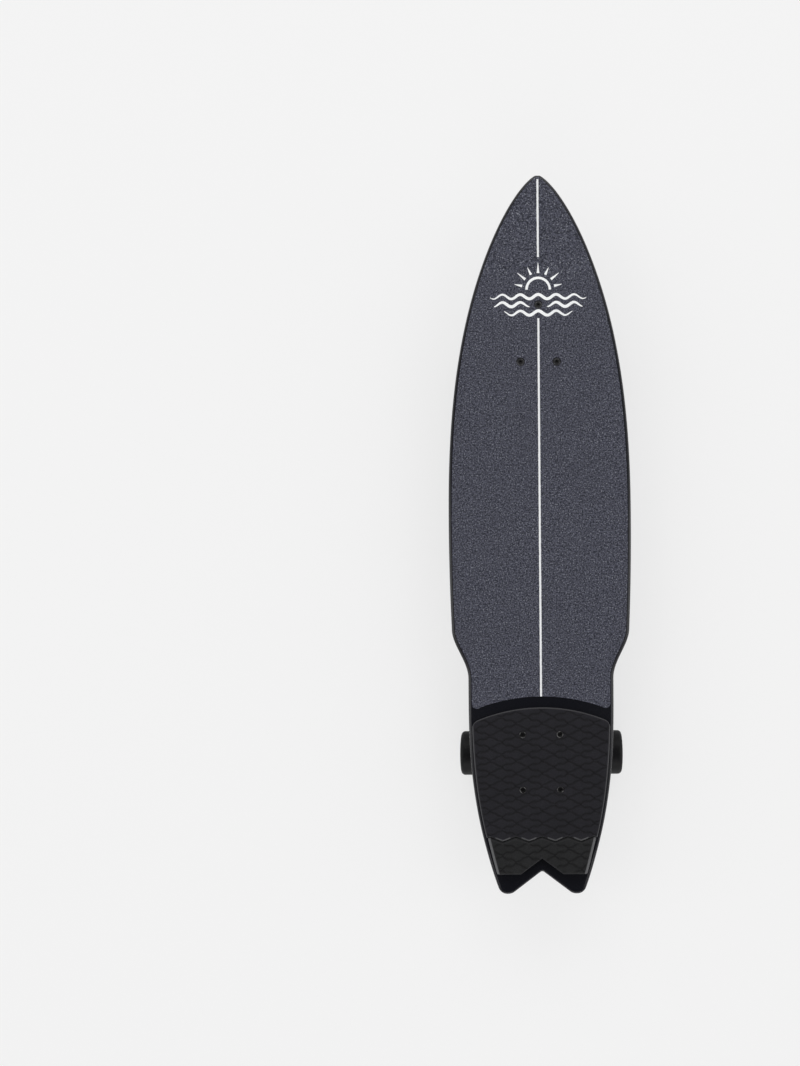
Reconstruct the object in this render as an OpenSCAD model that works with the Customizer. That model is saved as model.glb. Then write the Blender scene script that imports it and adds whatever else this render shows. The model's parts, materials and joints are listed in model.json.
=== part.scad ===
// Surf skateboard standing on its wheels: nose towards +Y, ground at Z = 0, middle of the deck at the origin.
// The front truck swivels against two springs and leans on its own bolt; the rear truck leans on rubber.

/* [Deck] */
// Overall length of the deck
deck_len = 914.4; // [880:0.1:960]
// Greatest width of the deck
deck_wid = 235; // [225:1:250]
// Thickness of the laminate
deck_thk = 11; // [10:0.5:13]
// How far the widest point lies ahead of the middle
wide_ahead = 20; // [0:1:50]
// Exponent along the nose outline, higher is fuller at the shoulder
nose_along = 2.4; // [2.2:0.05:2.6]
// Exponent across the nose outline, lower is blunter at the tip
nose_across = 0.7; // [0.65:0.01:0.75]
// How far the nose outline is cut back to blunt its tip
nose_blunt = 1; // [0.5:0.1:2]
// Radius of the long side curve behind the widest point
side_r = 3150; // [2500:50:4000]
// Distance of the wings' front end behind the middle
wing_back = 120.7; // [110:0.5:130]
// Length over which a wing steps in
wing_len = 62; // [50:1:75]
// Width of the waist behind the wings
waist_wid = 187; // [180:1:195]
// Distance behind the middle where the waist starts to taper
taper_back = 198; // [195:1:210]
// Width across the tail's two tips
tail_wid = 106; // [100:1:116]
// Exponent of the tail taper
tail_power = 2.6; // [2.2:0.1:3]
// Depth of the swallow tail's notch
notch_depth = 28; // [22:1:32]
// Half width of the notch at its mouth
notch_half = 38.8; // [35:0.1:40]
// Corner radius outside each tail tip
tail_corner_r = 12; // [8:1:13]
// Corner radius inside each tail tip
lobe_r = 14; // [8:1:15]
// Radius in the point of the notch
notch_r = 4; // [2:0.5:6]
// Height that the nose rises
nose_rise = 12.6; // [8:0.1:16]
// Length over which the nose rises
nose_rise_len = 147; // [130:1:150]
// Length of the raised tail
kick_len = 65; // [60:1:70]
// Slope of the raised tail, degrees
kick_angle = 12; // [8:0.5:15]
// Bend radius into the raised tail
kick_bend_r = 100; // [60:5:150]
// Depth of the rear wheel wells at the deck's edge
well_depth = 3.5; // [2:0.25:4]
// Width of the rear wheel wells, in from the waist
well_wid = 31; // [25:1:35]
// Radius along the rear wheel wells
well_r = 400; // [300:10:500]

/* [Grip and traction pad] */
// Thickness of the grip sheet
grip_thk = 0.8; // [0.6:0.1:1.5]
// Margin of bare deck around the grip and pad
edge_inset = 4.5; // [3.5:0.5:7]
// Bare band between grip and pad
band_gap = 14; // [8:1:18]
// Radius of the grip's two rear corners
grip_corner_r = 6; // [3:0.5:8]
// Radius of the pad's two front corners
pad_corner_r = 10; // [6:0.5:14]
// Radius of the pad's front arc
pad_arc_r = 215; // [200:5:240]
// Distance of the pad's front behind the middle
pad_front = 220; // [216:1:226]
// Thickness of the pad
pad_thk = 4; // [3:0.5:6]
// Distance of the kick piece's front ahead of the tail's tips
kick_pad_ahead = 71.2; // [69:0.2:75]
// Thickness of the kick piece at its front
kick_pad_low = 5.5; // [4.5:0.5:8]
// Thickness of the kick piece at its back
kick_pad_high = 16; // [12:0.5:20]
// Margin of bare deck beside the kick piece
kick_inset = 6; // [5:0.5:9]
// Bare tail behind the kick piece
kick_pad_tail = 27; // [22:1:30]
// Half width of the kick piece's notch at its mouth
pad_notch_half = 27; // [24:1:30]
// Depth of the kick piece's notch
pad_notch_depth = 18; // [14:1:22]
// Depth of the teeth where the two pad pieces meet
tooth_depth = 6.4; // [4:0.1:8]
// Pitch of those teeth
tooth_pitch = 33.4; // [30:0.1:36]
// Cut between the two pad pieces
pad_cut = 0.6; // [0.4:0.1:1.5]

/* [Wheels] */
// Wheel diameter
wheel_d = 60; // [58:1:63]
// Wheel width
wheel_w = 51; // [48:1:54]
// Rounding of the wheel's lips
lip_r = 5; // [3:0.5:7]
// Core diameter
core_d = 34; // [30:1:38]
// Bearing recess in from the wheel's inner face
hub_recess = 2; // [1.6:0.1:3]
// Bearing outside diameter
brg_od = 22; // [22:1:24]
// Bearing width
brg_w = 7; // [7:0.5:8]
// Axle diameter
axle_d = 8; // [7:0.1:8.2]
// Length of the spacer between the bearings
spacer_len = 10.2; // [8:0.1:11]
// Ball diameter
ball_d = 4; // [3.6:0.1:4]
// Balls in each wheel bearing
ball_count = 7; // [5:1:7]
// Thickness of a speed washer
washer_t = 1; // [0.8:0.1:1.5]
// Axle nut across flats
axle_nut_af = 12.7; // [12:0.1:14]
// Height of an axle nut
axle_nut_h = 6; // [5:0.5:8]

/* [Trucks] */
// Height from axle to the top of each base
truck_h = 65; // [64:0.5:68]
// Thickness of the riser pads
riser_t = 3; // [2:0.5:6]
// Distance of the front truck's swivel axis ahead of the middle
front_ahead = 260.4; // [255:0.2:266]
// Distance of the rear truck's bolt centre behind the middle
rear_back = 290.6; // [286:0.2:294]

/* [Rear truck] */
// Half distance between the rear wheels' inner faces
rear_half = 58.6; // [57:0.2:62]
// Width of the baseplate
plate_wid = 72; // [70:1:76]
// Length of the baseplate
plate_len = 100; // [98:1:106]
// Thickness of the baseplate
plate_t = 7; // [6:0.5:8]
// Corner radius of the baseplate
plate_r = 21; // [16:1:24]
// Bolt spacing across the board
rear_gauge = 48; // [46:0.5:50]
// Bolt spacing along the board
rear_pitch = 71; // [70:0.5:73]
// Axle's distance inboard of the bolt centre
rear_axle_in = 5.5; // [4:0.5:7]
// Kingpin ring's distance inboard of the axle
ring_in = 25; // [24:0.5:27]
// Kingpin ring's height above the axle
ring_up = 35.2; // [34:0.2:36]
// Lean of the kingpin's lower end towards the axle, degrees
king_tilt = 9; // [7:0.5:11]
// Rise of the steering axis towards the pivot, degrees
steer_tilt = 22; // [20:0.5:23]
// Distance from the ring to the pivot cup's mouth
pivot_reach = 41.5; // [40:0.5:43]
// Diameter of the hanger's bar
bar_d = 18; // [16:0.5:18.5]
// Kingpin diameter
king_d = 9.5; // [9:0.1:10]
// Diameter of the kingpin ring
ring_d = 33; // [31:1:35]
// Thickness of the kingpin ring
ring_t = 8; // [7:0.5:9]
// Bushing diameter
bush_d = 25; // [23:0.5:25.5]
// Height of the deck-side bushing outside its seat
bush_deck_h = 14; // [13:0.5:15]
// Height of the road-side bushing outside its seat
bush_road_h = 12; // [10:0.5:13]
// Kingpin nut across flats
king_nut_af = 14.3; // [13:0.1:15]
// Height of the kingpin nut
king_nut_h = 8; // [6:0.5:9]
// Diameter of the pivot nose
pivot_d = 11; // [10:0.5:12]
// Outside diameter of the pivot cup
cup_d = 18; // [17:0.5:18.5]
// Depth of the pivot cup
cup_len = 12; // [11:0.5:13]

/* [Front truck] */
// Half distance between the front wheels' inner faces
front_half = 40; // [39:0.2:43]
// Thickness of the base casting's floor
base_t = 8; // [7.5:0.5:9]
// Bolt spacing across the board
front_gauge = 46.5; // [46:0.5:48]
// Bolt spacing along the board
front_pitch = 73.3; // [72:0.1:76]
// Axle's distance behind the swivel axis
front_trail = 25.4; // [24:0.2:27]
// Height of the lean axis above the axle
lean_up = 17; // [16.5:0.5:19]
// Slope of the lean axis down towards the tail, degrees
lean_tilt = 15; // [12:0.5:17]
// Radius of the swivel arm's disc
disc_r = 27; // [26:0.5:27.5]
// Thickness of the swivel arm's disc
disc_t = 6.5; // [6:0.5:7]
// Wall of the rim round the disc
rim_wall = 2.6; // [2:0.1:3.5]
// Width of the hanger's cross bar along the board
cross_w = 12; // [11:0.5:13]
// Height of the hanger's cross bar
cross_h = 14; // [13:0.5:15]
// Diameter of the hanger's sleeve
sleeve_d = 19; // [17:0.5:20]
// Diameter of the hanger's ring
lean_ring_d = 29; // [27:0.5:31]
// Diameter of the rubber bushing in that ring
lean_bush_d = 22; // [20:0.5:23]
// Diameter of the lean bolt
lean_bolt_d = 9.5; // [9:0.1:10]
// Diameter of the lean bolt's head
lean_head_d = 14.3; // [13:0.1:15.5]
// Height of the lean bolt's head
lean_head_h = 9.5; // [8:0.5:10]
// Hex socket of the lean bolt, across flats
lean_hex_af = 7.9; // [7:0.1:9]
// Swivel bolt diameter
swivel_d = 10; // [9:0.5:10]
// Swivel bearing outside diameter
swivel_od = 26; // [24:1:28]
// Swivel bearing width
swivel_w = 8; // [7:0.5:8]
// Balls in the swivel bearing
swivel_balls = 8; // [6:1:9]

/* [Springs] */
// Outside diameter of a centring spring
spring_d = 9; // [8:0.25:9.5]
// Diameter of its wire
wire_d = 1.3; // [1:0.05:1.4]
// Curls in each spring
spring_curls = 9; // [6:1:10]
// Length of each spring at rest
spring_len = 27; // [25:0.5:28]
// Slant of each spring from straight across, degrees
spring_slant = 33.6; // [31:0.2:36]

/* [Fasteners] */
// Deck bolt diameter
bolt_d = 4.8; // [4.6:0.1:5]
// Deck bolt head diameter
bolt_head_d = 9.6; // [9:0.1:10.5]
// Depth of the countersunk head
bolt_head_h = 2.7; // [2.4:0.1:3]
// Lock nut across flats
nut_af = 9.5; // [9:0.1:10]
// Height of a lock nut's hexagon
nut_h = 4.5; // [4:0.5:6]

/* [Hidden] */
$fn = 64;

// Clearances
press = 0.02;
run_gap = 0.08;
slide_gap = 0.3;
hole_gap = 0.25;
ball_gap = 0.1;
seat_gap = 0.1;

// Cuts run past a face by this much, joined shapes sink in as far, and a long cut passes a whole truck
cut = 1;
touch = 0.01;
through = 80;
half_turn = 180;
full_turn = 360;

// Heights
axle_z = wheel_d / 2;
base_z = axle_z + truck_h;
deck_z = base_z + riser_t;
deck_top = deck_z + deck_thk;
grip_top = deck_top + grip_thk;

// Places along the board
half_len = deck_len / 2;
front_y = front_ahead;
rear_y = -rear_back;
wing_front = -wing_back;
wing_end = wing_front - wing_len;
taper_y = -taper_back;
pad_centre = -pad_front - pad_arc_r;
grip_arc_r = pad_arc_r + band_gap;
nose_rise_y = half_len - nose_rise_len;
nose_rise_r = (pow(nose_rise_len, 2) + pow(nose_rise, 2)) / (2 * nose_rise);
kick_y = -half_len + kick_len;
kick_bend_len = kick_bend_r * sin(kick_angle);
kick_pad_y = -half_len + kick_pad_ahead;
kick_pad_end = -half_len + kick_pad_tail;

// Steps that round stretches are drawn with
nose_steps = 24;
side_steps = 4;
wing_steps = 10;
tail_steps = 8;
rise_steps = 8;
bend_steps = 4;
corner_steps = 6;

function unit(v) = v / norm(v);
function clamp01(t) = min(1, max(0, t));

// Points of a corner at b, rounded to radius r between the edges from a and to c
function corner(a, b, c, r, n = corner_steps) =
    let(u = unit(a - b), v = unit(c - b), half = acos(u * v) / 2)
    let(m = b + unit(u + v) * r / sin(half))
    let(p = b + u * r / tan(half) - m, q = b + v * r / tan(half) - m)
    let(start = atan2(p.y, p.x))
    let(turn = (atan2(q.y, q.x) - start + full_turn + half_turn) % full_turn - half_turn)
    [for (i = [0:n]) m + r * [cos(start + turn * i / n), sin(start + turn * i / n)]];

// Closed outline through points [x, y, radius], each corner rounded to its radius
function rounded(pts) = [
    for (i = [0:len(pts) - 1])
        let(a = pts[(i + len(pts) - 1) % len(pts)], b = pts[i], c = pts[(i + 1) % len(pts)])
            each b.z > 0 ? corner([a.x, a.y], [b.x, b.y], [c.x, c.y], b.z) : [[b.x, b.y]]
];

function mirrored(pts) = [for (i = [len(pts) - 1:-1:0]) [-pts[i].x, pts[i].y]];

// Half width of the deck at y, from nose to tail
function nose_half(y) =
    let(whole = half_len + nose_blunt - wide_ahead, u = clamp01((half_len + nose_blunt - y) / whole))
    deck_wid / 2 * pow(1 - pow(1 - u, nose_along), nose_across);
function side_half(y) = deck_wid / 2 - pow(wide_ahead - y, 2) / (2 * side_r);
function wing_half(y) =
    let(t = clamp01((wing_front - y) / wing_len), s = t * t * (3 - 2 * t))
    side_half(y) * (1 - s) + waist_wid / 2 * s;
function tail_half(y) =
    let(t = clamp01((taper_y - y) / (taper_y + half_len)))
    waist_wid / 2 - (waist_wid - tail_wid) / 2 * pow(t, tail_power);
function deck_half(y) =
    y > wide_ahead ? nose_half(y)
    : y > wing_front ? side_half(y)
    : y > wing_end ? wing_half(y)
    : tail_half(y);

// Half width of a sheet whose edge lies a margin inside the deck's edge
slope_step = 0.5;
function inset_half(y, margin) =
    let(slope = (deck_half(y + slope_step) - deck_half(y - slope_step)) / (2 * slope_step))
    deck_half(y) - margin * sqrt(1 + slope * slope);

function nose_stations(tip) =
    [for (i = [0:nose_steps]) tip - (tip - wide_ahead) * pow(i / nose_steps, 2)];
side_stations = concat(
    [for (i = [1:side_steps]) wide_ahead + (wing_front - wide_ahead) * i / side_steps],
    [for (i = [1:wing_steps]) wing_front - wing_len * i / wing_steps],
    [taper_y]
);
function tail_stations(last) = [for (i = [1:tail_steps]) taper_y + (last - taper_y) * i / tail_steps];

// Plan outline of the deck
tail_run = 14;
deck_stations = concat(nose_stations(half_len), side_stations, tail_stations(tail_run - half_len));
deck_side = [for (y = deck_stations) [deck_half(y), y]];
tail_tip = [tail_half(-half_len), -half_len];
notch_mouth = [notch_half, -half_len];
notch_point = [0, notch_depth - half_len];
deck_half_outline = concat(
    deck_side,
    corner(deck_side[len(deck_side) - 1], tail_tip, notch_mouth, tail_corner_r),
    corner(tail_tip, notch_mouth, notch_point, lobe_r)
);
deck_outline = concat(
    deck_half_outline,
    corner(notch_mouth, notch_point, [-notch_half, -half_len], notch_r),
    mirrored(deck_half_outline)
);

// Plan outline of what covers the deck, down to the end y
grip_tip_gap = 3.2;
grip_tip_half = 0.3;
cover_low = kick_pad_y - 2 * tooth_depth;
function cover_point(y) = [max(grip_tip_half, inset_half(y, edge_inset)), y];

// Place y at which an arc about the pad's centre meets the cover's side
meet_tries = 8;
function meet_y(arc_r, y = taper_y, tries = meet_tries) =
    tries == 0 ? y : meet_y(arc_r, pad_centre + sqrt(pow(arc_r, 2) - pow(cover_point(y).x, 2)), tries - 1);

// Right half of such an arc, from its rounded corner to just short of the centre line
arc_steps = 12;
function arc_half(arc_r, corner_r, from) =
    let(meet = cover_point(meet_y(arc_r)), phi = asin(meet.x / arc_r))
    let(pts = [
        for (i = [2:arc_steps - 1])
            let(a = phi * (1 - i / arc_steps)) [arc_r * sin(a), pad_centre + arc_r * cos(a)]
    ])
    concat(corner(from, meet, pts[0], corner_r), pts);

grip_half_outline = concat(
    [for (y = concat(nose_stations(half_len - grip_tip_gap), side_stations)) cover_point(y)],
    arc_half(grip_arc_r, grip_corner_r, cover_point(taper_y))
);
grip_outline = concat(grip_half_outline, [[0, pad_centre + grip_arc_r]], mirrored(grip_half_outline));

pad_side = [
    for (i = [0:tail_steps - 1]) cover_point(cover_low + (meet_y(pad_arc_r) - cover_low) * i / tail_steps)
];
pad_half_outline = concat(pad_side, arc_half(pad_arc_r, pad_corner_r, pad_side[tail_steps - 1]));
pad_outline = concat(pad_half_outline, [[0, pad_centre + pad_arc_r]], mirrored(pad_half_outline));

// Zigzag across the pad, with its points towards the tail and one gap point on the centre line
tooth_count = ceil(waist_wid / tooth_pitch) + 1;
function zigzag(shift) = [
    for (i = [-tooth_count:tooth_count])
        [i * tooth_pitch / 2, kick_pad_y + shift - (i % 2 == 0 ? 0 : tooth_depth)]
];

// Plan outline of the kick piece
kick_side = [
    for (y = [kick_pad_y + tooth_depth, (kick_pad_y + kick_pad_end) / 2, kick_pad_end + tail_run / 2])
        [inset_half(y, kick_inset), y]
];
pad_tip_r = 4;
kick_tip = [inset_half(kick_pad_end, kick_inset), kick_pad_end];
kick_mouth = [pad_notch_half, kick_pad_end];
kick_point = [0, kick_pad_end + pad_notch_depth];
kick_half_outline = concat(
    kick_side,
    corner(kick_side[len(kick_side) - 1], kick_tip, kick_mouth, pad_tip_r),
    corner(kick_tip, kick_mouth, kick_point, pad_tip_r)
);
kick_outline = concat(
    kick_half_outline,
    corner(kick_mouth, kick_point, [-pad_notch_half, kick_pad_end], pad_tip_r),
    mirrored(kick_half_outline)
);

// Rise of the deck's surfaces above their flat middle
function rise(y) =
    let(up = max(0, y - nose_rise_y), back = max(0, kick_y - y))
    up > 0 ? nose_rise_r - sqrt(nose_rise_r * nose_rise_r - up * up)
    : back < kick_bend_len ? kick_bend_r - sqrt(kick_bend_r * kick_bend_r - back * back)
    : kick_bend_r * (1 - cos(kick_angle)) + (back - kick_bend_len) * tan(kick_angle);

overrun = 10;
rise_stations = concat(
    [-half_len - overrun],
    [for (i = [bend_steps:-1:0]) kick_y - kick_bend_len * i / bend_steps],
    [for (i = [0:rise_steps]) nose_rise_y + nose_rise_len * i / rise_steps],
    [half_len + overrun]
);

// Slab across the board between two heights over the deck's underside, following its rise
module band(low, high) {
    lower = [for (y = rise_stations) [y, rise(y) + low]];
    upper = [for (i = [len(rise_stations) - 1:-1:0]) [rise_stations[i], rise(rise_stations[i]) + high]];
    rotate([90, 0, 90])
        linear_extrude(2 * deck_wid, center = true)
            polygon(concat(lower, upper));
}

plan_high = deck_top + through;

module upright(pts) {
    translate([0, 0, deck_z - overrun])
        linear_extrude(plan_high - deck_z)
            polygon(pts);
}

module both_sides() {
    children();
    mirror([1, 0, 0])
        children();
}

// Truck frames: X across, Y inboard towards the middle of the board
module at_front() {
    translate([0, front_y, 0])
        rotate([0, 0, 180])
            children();
}

module at_rear() {
    translate([0, rear_y, 0])
        children();
}

front_holes = [
    [0, -front_pitch / 2], [-front_gauge / 2, front_pitch / 2], [front_gauge / 2, front_pitch / 2]
];
rear_holes = [for (sx = [-1, 1], sy = [-1, 1]) [sx * rear_gauge / 2, sy * rear_pitch / 2]];

module at_holes(holes) {
    for (p = holes)
        translate([p.x, p.y, 0])
            children();
}

// Deck
bolt_hole_d = bolt_d + 2 * hole_gap;
head_hole_d = bolt_head_d + 2 * hole_gap;

module deck_holes(holes) {
    at_holes(holes) {
        translate([0, 0, deck_z - cut])
            cylinder(h = deck_thk + 2 * cut, d = bolt_hole_d);
        translate([0, 0, deck_top - bolt_head_h])
            cylinder(h = bolt_head_h, d1 = bolt_hole_d, d2 = head_hole_d);
        translate([0, 0, deck_top - touch])
            cylinder(h = cut, d = head_hole_d);
    }
}

module wheel_well() {
    slope = atan(well_depth / well_wid);
    translate([waist_wid / 2 - well_wid, rear_y + rear_axle_in, deck_z])
        rotate([0, -slope, 0])
            translate([0, 0, -well_r])
                rotate([0, 90, 0])
                    cylinder(h = 2 * well_wid, r = well_r, $fn = 360);
}

module deck() {
    color("#101012")
        difference() {
            intersection() {
                upright(deck_outline);
                band(deck_z, deck_top);
            }
            at_front()
                deck_holes(front_holes);
            at_rear()
                deck_holes(rear_holes);
            both_sides()
                wheel_well();
        }
}

// Grip and pad
grip_hole_gap = 0.7;
pad_hole_lap = 0.5;
cover_hole_d = bolt_head_d + 2 * grip_hole_gap;
pad_hole_d = bolt_head_d - 2 * pad_hole_lap;

module grip_sheet() {
    color("#3c3e4a")
        difference() {
            intersection() {
                upright(grip_outline);
                band(deck_top, grip_top);
            }
            at_front()
                at_holes(front_holes)
                    translate([0, 0, deck_z])
                        cylinder(h = plan_high, d = cover_hole_d);
        }
}

module traction_pad() {
    color("#202022")
        difference() {
            intersection() {
                upright(pad_outline);
                band(deck_top, deck_top + pad_thk);
                upright(concat(zigzag(pad_cut / 2), [[deck_wid, 0], [-deck_wid, 0]]));
            }
            at_rear()
                at_holes(rear_holes)
                    translate([0, 0, deck_z])
                        cylinder(h = plan_high, d = pad_hole_d);
        }
}

// Side view of the kick piece's wedge, level with the deck below and hollowed towards its crest above
wedge_steps = 6;
wedge_curve = 1.6;

module kick_wedge() {
    low_y = kick_pad_y + tooth_depth;
    span = low_y - kick_pad_end + overrun;
    ys = [for (i = [0:wedge_steps]) low_y - span * i / wedge_steps];
    top = [
        for (y = ys)
            let(t = clamp01((low_y - y) / (low_y - kick_pad_end)))
                [y, deck_top + rise(y) + kick_pad_low + (kick_pad_high - kick_pad_low) * pow(t, wedge_curve)]
    ];
    bottom = [for (i = [wedge_steps:-1:0]) [ys[i], deck_top]];
    rotate([90, 0, 90])
        linear_extrude(2 * deck_wid, center = true)
            polygon(concat(top, bottom));
}

module kick_pad() {
    color("#1e1e20")
        intersection() {
            upright(kick_outline);
            band(deck_top, deck_top + 2 * kick_pad_high);
            kick_wedge();
            upright(concat(zigzag(-pad_cut / 2), [[deck_wid, -deck_len], [-deck_wid, -deck_len]]));
        }
}

// Risers
riser_hole_d = bolt_d + 4 * hole_gap;

module front_riser() {
    bearing_room = 2.5;
    color("#151515")
        at_front()
            translate([0, 0, base_z])
                difference() {
                    front_foot(riser_t);
                    translate([0, 0, -cut])
                        cylinder(h = riser_t + 2 * cut, r = swivel_od / 2 + bearing_room);
                    at_holes(front_holes)
                        translate([0, 0, -cut])
                            cylinder(h = riser_t + 2 * cut, d = riser_hole_d);
                }
}

module rear_riser() {
    color("#151515")
        at_rear()
            translate([0, 0, base_z])
                linear_extrude(riser_t)
                    difference() {
                        polygon(plate_outline());
                        at_holes(rear_holes)
                            circle(d = riser_hole_d);
                    }
}

// Deck fasteners
collar_h = 1.5;
bolt_past = 1;
head_sink = 0.1;

// A hexagonal prism, by the distance across its flats
module hexagon(across, height) {
    cylinder(h = height, d = across / cos(30), $fn = 6);
}

module deck_bolt(nut_face) {
    socket_af = 4;
    socket_deep = 2;
    tip = nut_face - nut_h - collar_h - bolt_past;
    difference() {
        union() {
            translate([0, 0, tip])
                cylinder(h = deck_top - tip - bolt_head_h / 2, d = bolt_d);
            translate([0, 0, deck_top - bolt_head_h - head_sink])
                cylinder(h = bolt_head_h, d1 = bolt_d, d2 = bolt_head_d);
        }
        translate([0, 0, deck_top - socket_deep])
            hexagon(socket_af, socket_deep);
    }
}

module lock_nut(nut_face) {
    collar_in = 0.4;
    translate([0, 0, nut_face - nut_h])
        difference() {
            union() {
                hexagon(nut_af, nut_h);
                translate([0, 0, -collar_h])
                    cylinder(h = collar_h + cut, d = nut_af - 2 * collar_in);
            }
            translate([0, 0, -collar_h - cut])
                cylinder(h = nut_h + collar_h + 2 * cut, d = bolt_d + 2 * press);
        }
}

// The nose lug stands lower than the ears
lug_h = 11;
ear_h = 10;
lug_z = base_z - lug_h;
ear_z = base_z - ear_h;
front_faces = [lug_z, ear_z, ear_z];

module front_deck_bolts() {
    color("#0c0c0c")
        at_front()
            for (i = [0:2])
                translate([front_holes[i].x, front_holes[i].y, 0])
                    deck_bolt(front_faces[i]);
}

module front_lock_nuts() {
    color("#0c0c0c")
        at_front()
            for (i = [0:2])
                translate([front_holes[i].x, front_holes[i].y, 0])
                    lock_nut(front_faces[i]);
}

// Small round seats stand out under the baseplate for its nuts
plate_z = base_z - plate_t;
seat_h = 1.5;
seat_d = 15;

module rear_deck_bolts() {
    color("#0c0c0c")
        at_rear()
            at_holes(rear_holes)
                deck_bolt(plate_z - seat_h);
}

module rear_lock_nuts() {
    color("#0c0c0c")
        at_rear()
            at_holes(rear_holes)
                lock_nut(plate_z - seat_h);
}

// Rear truck
ring_y = rear_axle_in + ring_in;
ring_z = axle_z + ring_up;

// Kingpin frame: origin in the ring's middle, Z up along the kingpin
module king_frame() {
    translate([0, ring_y, ring_z])
        rotate([-king_tilt, 0, 0])
            children();
}

// Steering frame: same origin, Z along the steering axis towards the pivot
module steer_frame() {
    translate([0, ring_y, ring_z])
        rotate([90 - steer_tilt, 0, 0])
            children();
}

cup_washer_t = 1.5;
cup_lip_h = 1.2;
cup_lip_t = 1;
bush_taper = 2.6;
bush_end_d = bush_d - bush_taper;
cup_washer_d = bush_end_d + 2 * slide_gap + 2 * cup_lip_t;
bush_seat = 1.5;
bush_seat_z = ring_t / 2 - bush_seat;
bush_hole_d = bush_d + 1;
king_seat = ring_t / 2 + bush_deck_h + cup_washer_t;
king_road = -ring_t / 2 - bush_road_h - cup_washer_t;
king_past = 2.5;
king_tip = king_road - king_nut_h - king_past;
king_ledge = 4.1;
king_head_h = 4.4;
king_head_d = 18;

function plate_outline() = rounded([
    [plate_wid / 2, plate_len / 2, plate_r], [-plate_wid / 2, plate_len / 2, plate_r],
    [-plate_wid / 2, -plate_len / 2, plate_r], [plate_wid / 2, -plate_len / 2, plate_r]
]);

module rear_baseplate() {
    boss_wall = 6;
    boss_flare = 9;
    boss_h = 8;
    boss_d = king_head_d + 2 * boss_wall;
    housing_wall = 3.5;
    housing_len = 36;
    housing_d = cup_d + 2 * housing_wall;
    housing_end_d = 12;
    block_half = 15.5;
    block_len = 40;
    block_h = 2;
    rib_h = 3.5;
    rib_t = 2;
    block_y = 2 - plate_len / 2;
    pocket = [9, 13];
    pocket_deep = 1.5;
    pocket_at = [28.6, 21];
    color("#a9abae")
        at_rear()
            difference() {
                union() {
                    translate([0, 0, plate_z])
                        linear_extrude(plate_t)
                            polygon(plate_outline());
                    at_holes(rear_holes)
                        translate([0, 0, plate_z - seat_h])
                            cylinder(h = seat_h + cut, d = seat_d);
                    intersection() {
                        union() {
                            king_frame()
                                translate([0, 0, king_seat])
                                    cylinder(h = boss_h, d1 = boss_d, d2 = boss_d + boss_flare);
                            steer_frame()
                                translate([0, 0, pivot_reach])
                                    cylinder(h = housing_len, d1 = housing_d, d2 = housing_end_d);
                            translate([-block_half, block_y, plate_z - block_h])
                                cube([2 * block_half, block_len, block_h + cut]);
                            for (x = [-block_half, block_half - rib_t])
                                translate([x, block_y, plate_z - rib_h])
                                    cube([rib_t, block_len, rib_h + cut]);
                        }
                        translate([0, 0, base_z - through])
                            linear_extrude(through)
                                polygon(plate_outline());
                    }
                }
                at_holes(rear_holes)
                    translate([0, 0, plate_z - seat_h - cut])
                        cylinder(h = seat_h + plate_t + 2 * cut, d = bolt_hole_d);
                for (sx = [-1, 1], sy = [-1, 1])
                    translate([
                        sx * pocket_at.x - pocket.x / 2, sy * pocket_at.y - pocket.y / 2, plate_z - cut
                    ])
                        cube([pocket.x, pocket.y, pocket_deep + cut]);
                king_frame() {
                    cylinder(h = king_seat + king_ledge + cut, d = king_d + 2 * press);
                    translate([0, 0, king_seat + king_ledge])
                        cylinder(h = through, d = king_head_d + 4 * press);
                }
                steer_frame()
                    translate([0, 0, pivot_reach - cut])
                        cylinder(h = cup_len + cut, d = cup_d + 2 * press);
            }
}

// The pivot nose ends in a ball that turns in the cup
nose_deep = 2.5;

module rear_pivot_cup() {
    color("#141414")
        at_rear()
            steer_frame()
                translate([0, 0, pivot_reach])
                    difference() {
                        cylinder(h = cup_len - press, d = cup_d);
                        translate([0, 0, -cut])
                            cylinder(h = nose_deep + cut, d = pivot_d + 2 * run_gap);
                        translate([0, 0, nose_deep])
                            sphere(d = pivot_d + 2 * run_gap);
                    }
}

module rear_kingpin() {
    color("#c4c6c8")
        at_rear()
            king_frame() {
                translate([0, 0, king_tip])
                    cylinder(h = king_seat + king_ledge - king_tip + cut, d = king_d);
                translate([0, 0, king_seat + king_ledge])
                    cylinder(h = king_head_h, d = king_head_d);
            }
}

// A bushing stands in the ring's seat and tapers towards its washer
module bushing(height) {
    whole = height + bush_seat;
    translate([0, 0, bush_seat_z])
        difference() {
            cylinder(h = whole, d1 = bush_d, d2 = bush_end_d);
            translate([0, 0, -cut])
                cylinder(h = whole + 2 * cut, d = king_d + 2 * press);
        }
}

module rear_bushing_deck() {
    color("#1a1a1a")
        at_rear()
            king_frame()
                bushing(bush_deck_h);
}

module rear_bushing_road() {
    color("#1a1a1a")
        at_rear()
            king_frame()
                mirror([0, 0, 1])
                    bushing(bush_road_h);
}

// A cup washer is a flat ring with a low lip round the bushing's end
module cup_washer() {
    difference() {
        cylinder(h = cup_washer_t + cup_lip_h, d = cup_washer_d);
        translate([0, 0, cup_washer_t])
            cylinder(h = cup_lip_h + cut, d = bush_end_d + 2 * slide_gap);
        translate([0, 0, -cut])
            cylinder(h = cup_washer_t + 2 * cut, d = king_d + 2 * press);
    }
}

module rear_cup_washers() {
    color("#b8babd")
        at_rear()
            king_frame() {
                translate([0, 0, king_seat])
                    mirror([0, 0, 1])
                        cup_washer();
                translate([0, 0, king_road])
                    cup_washer();
            }
}

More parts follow.
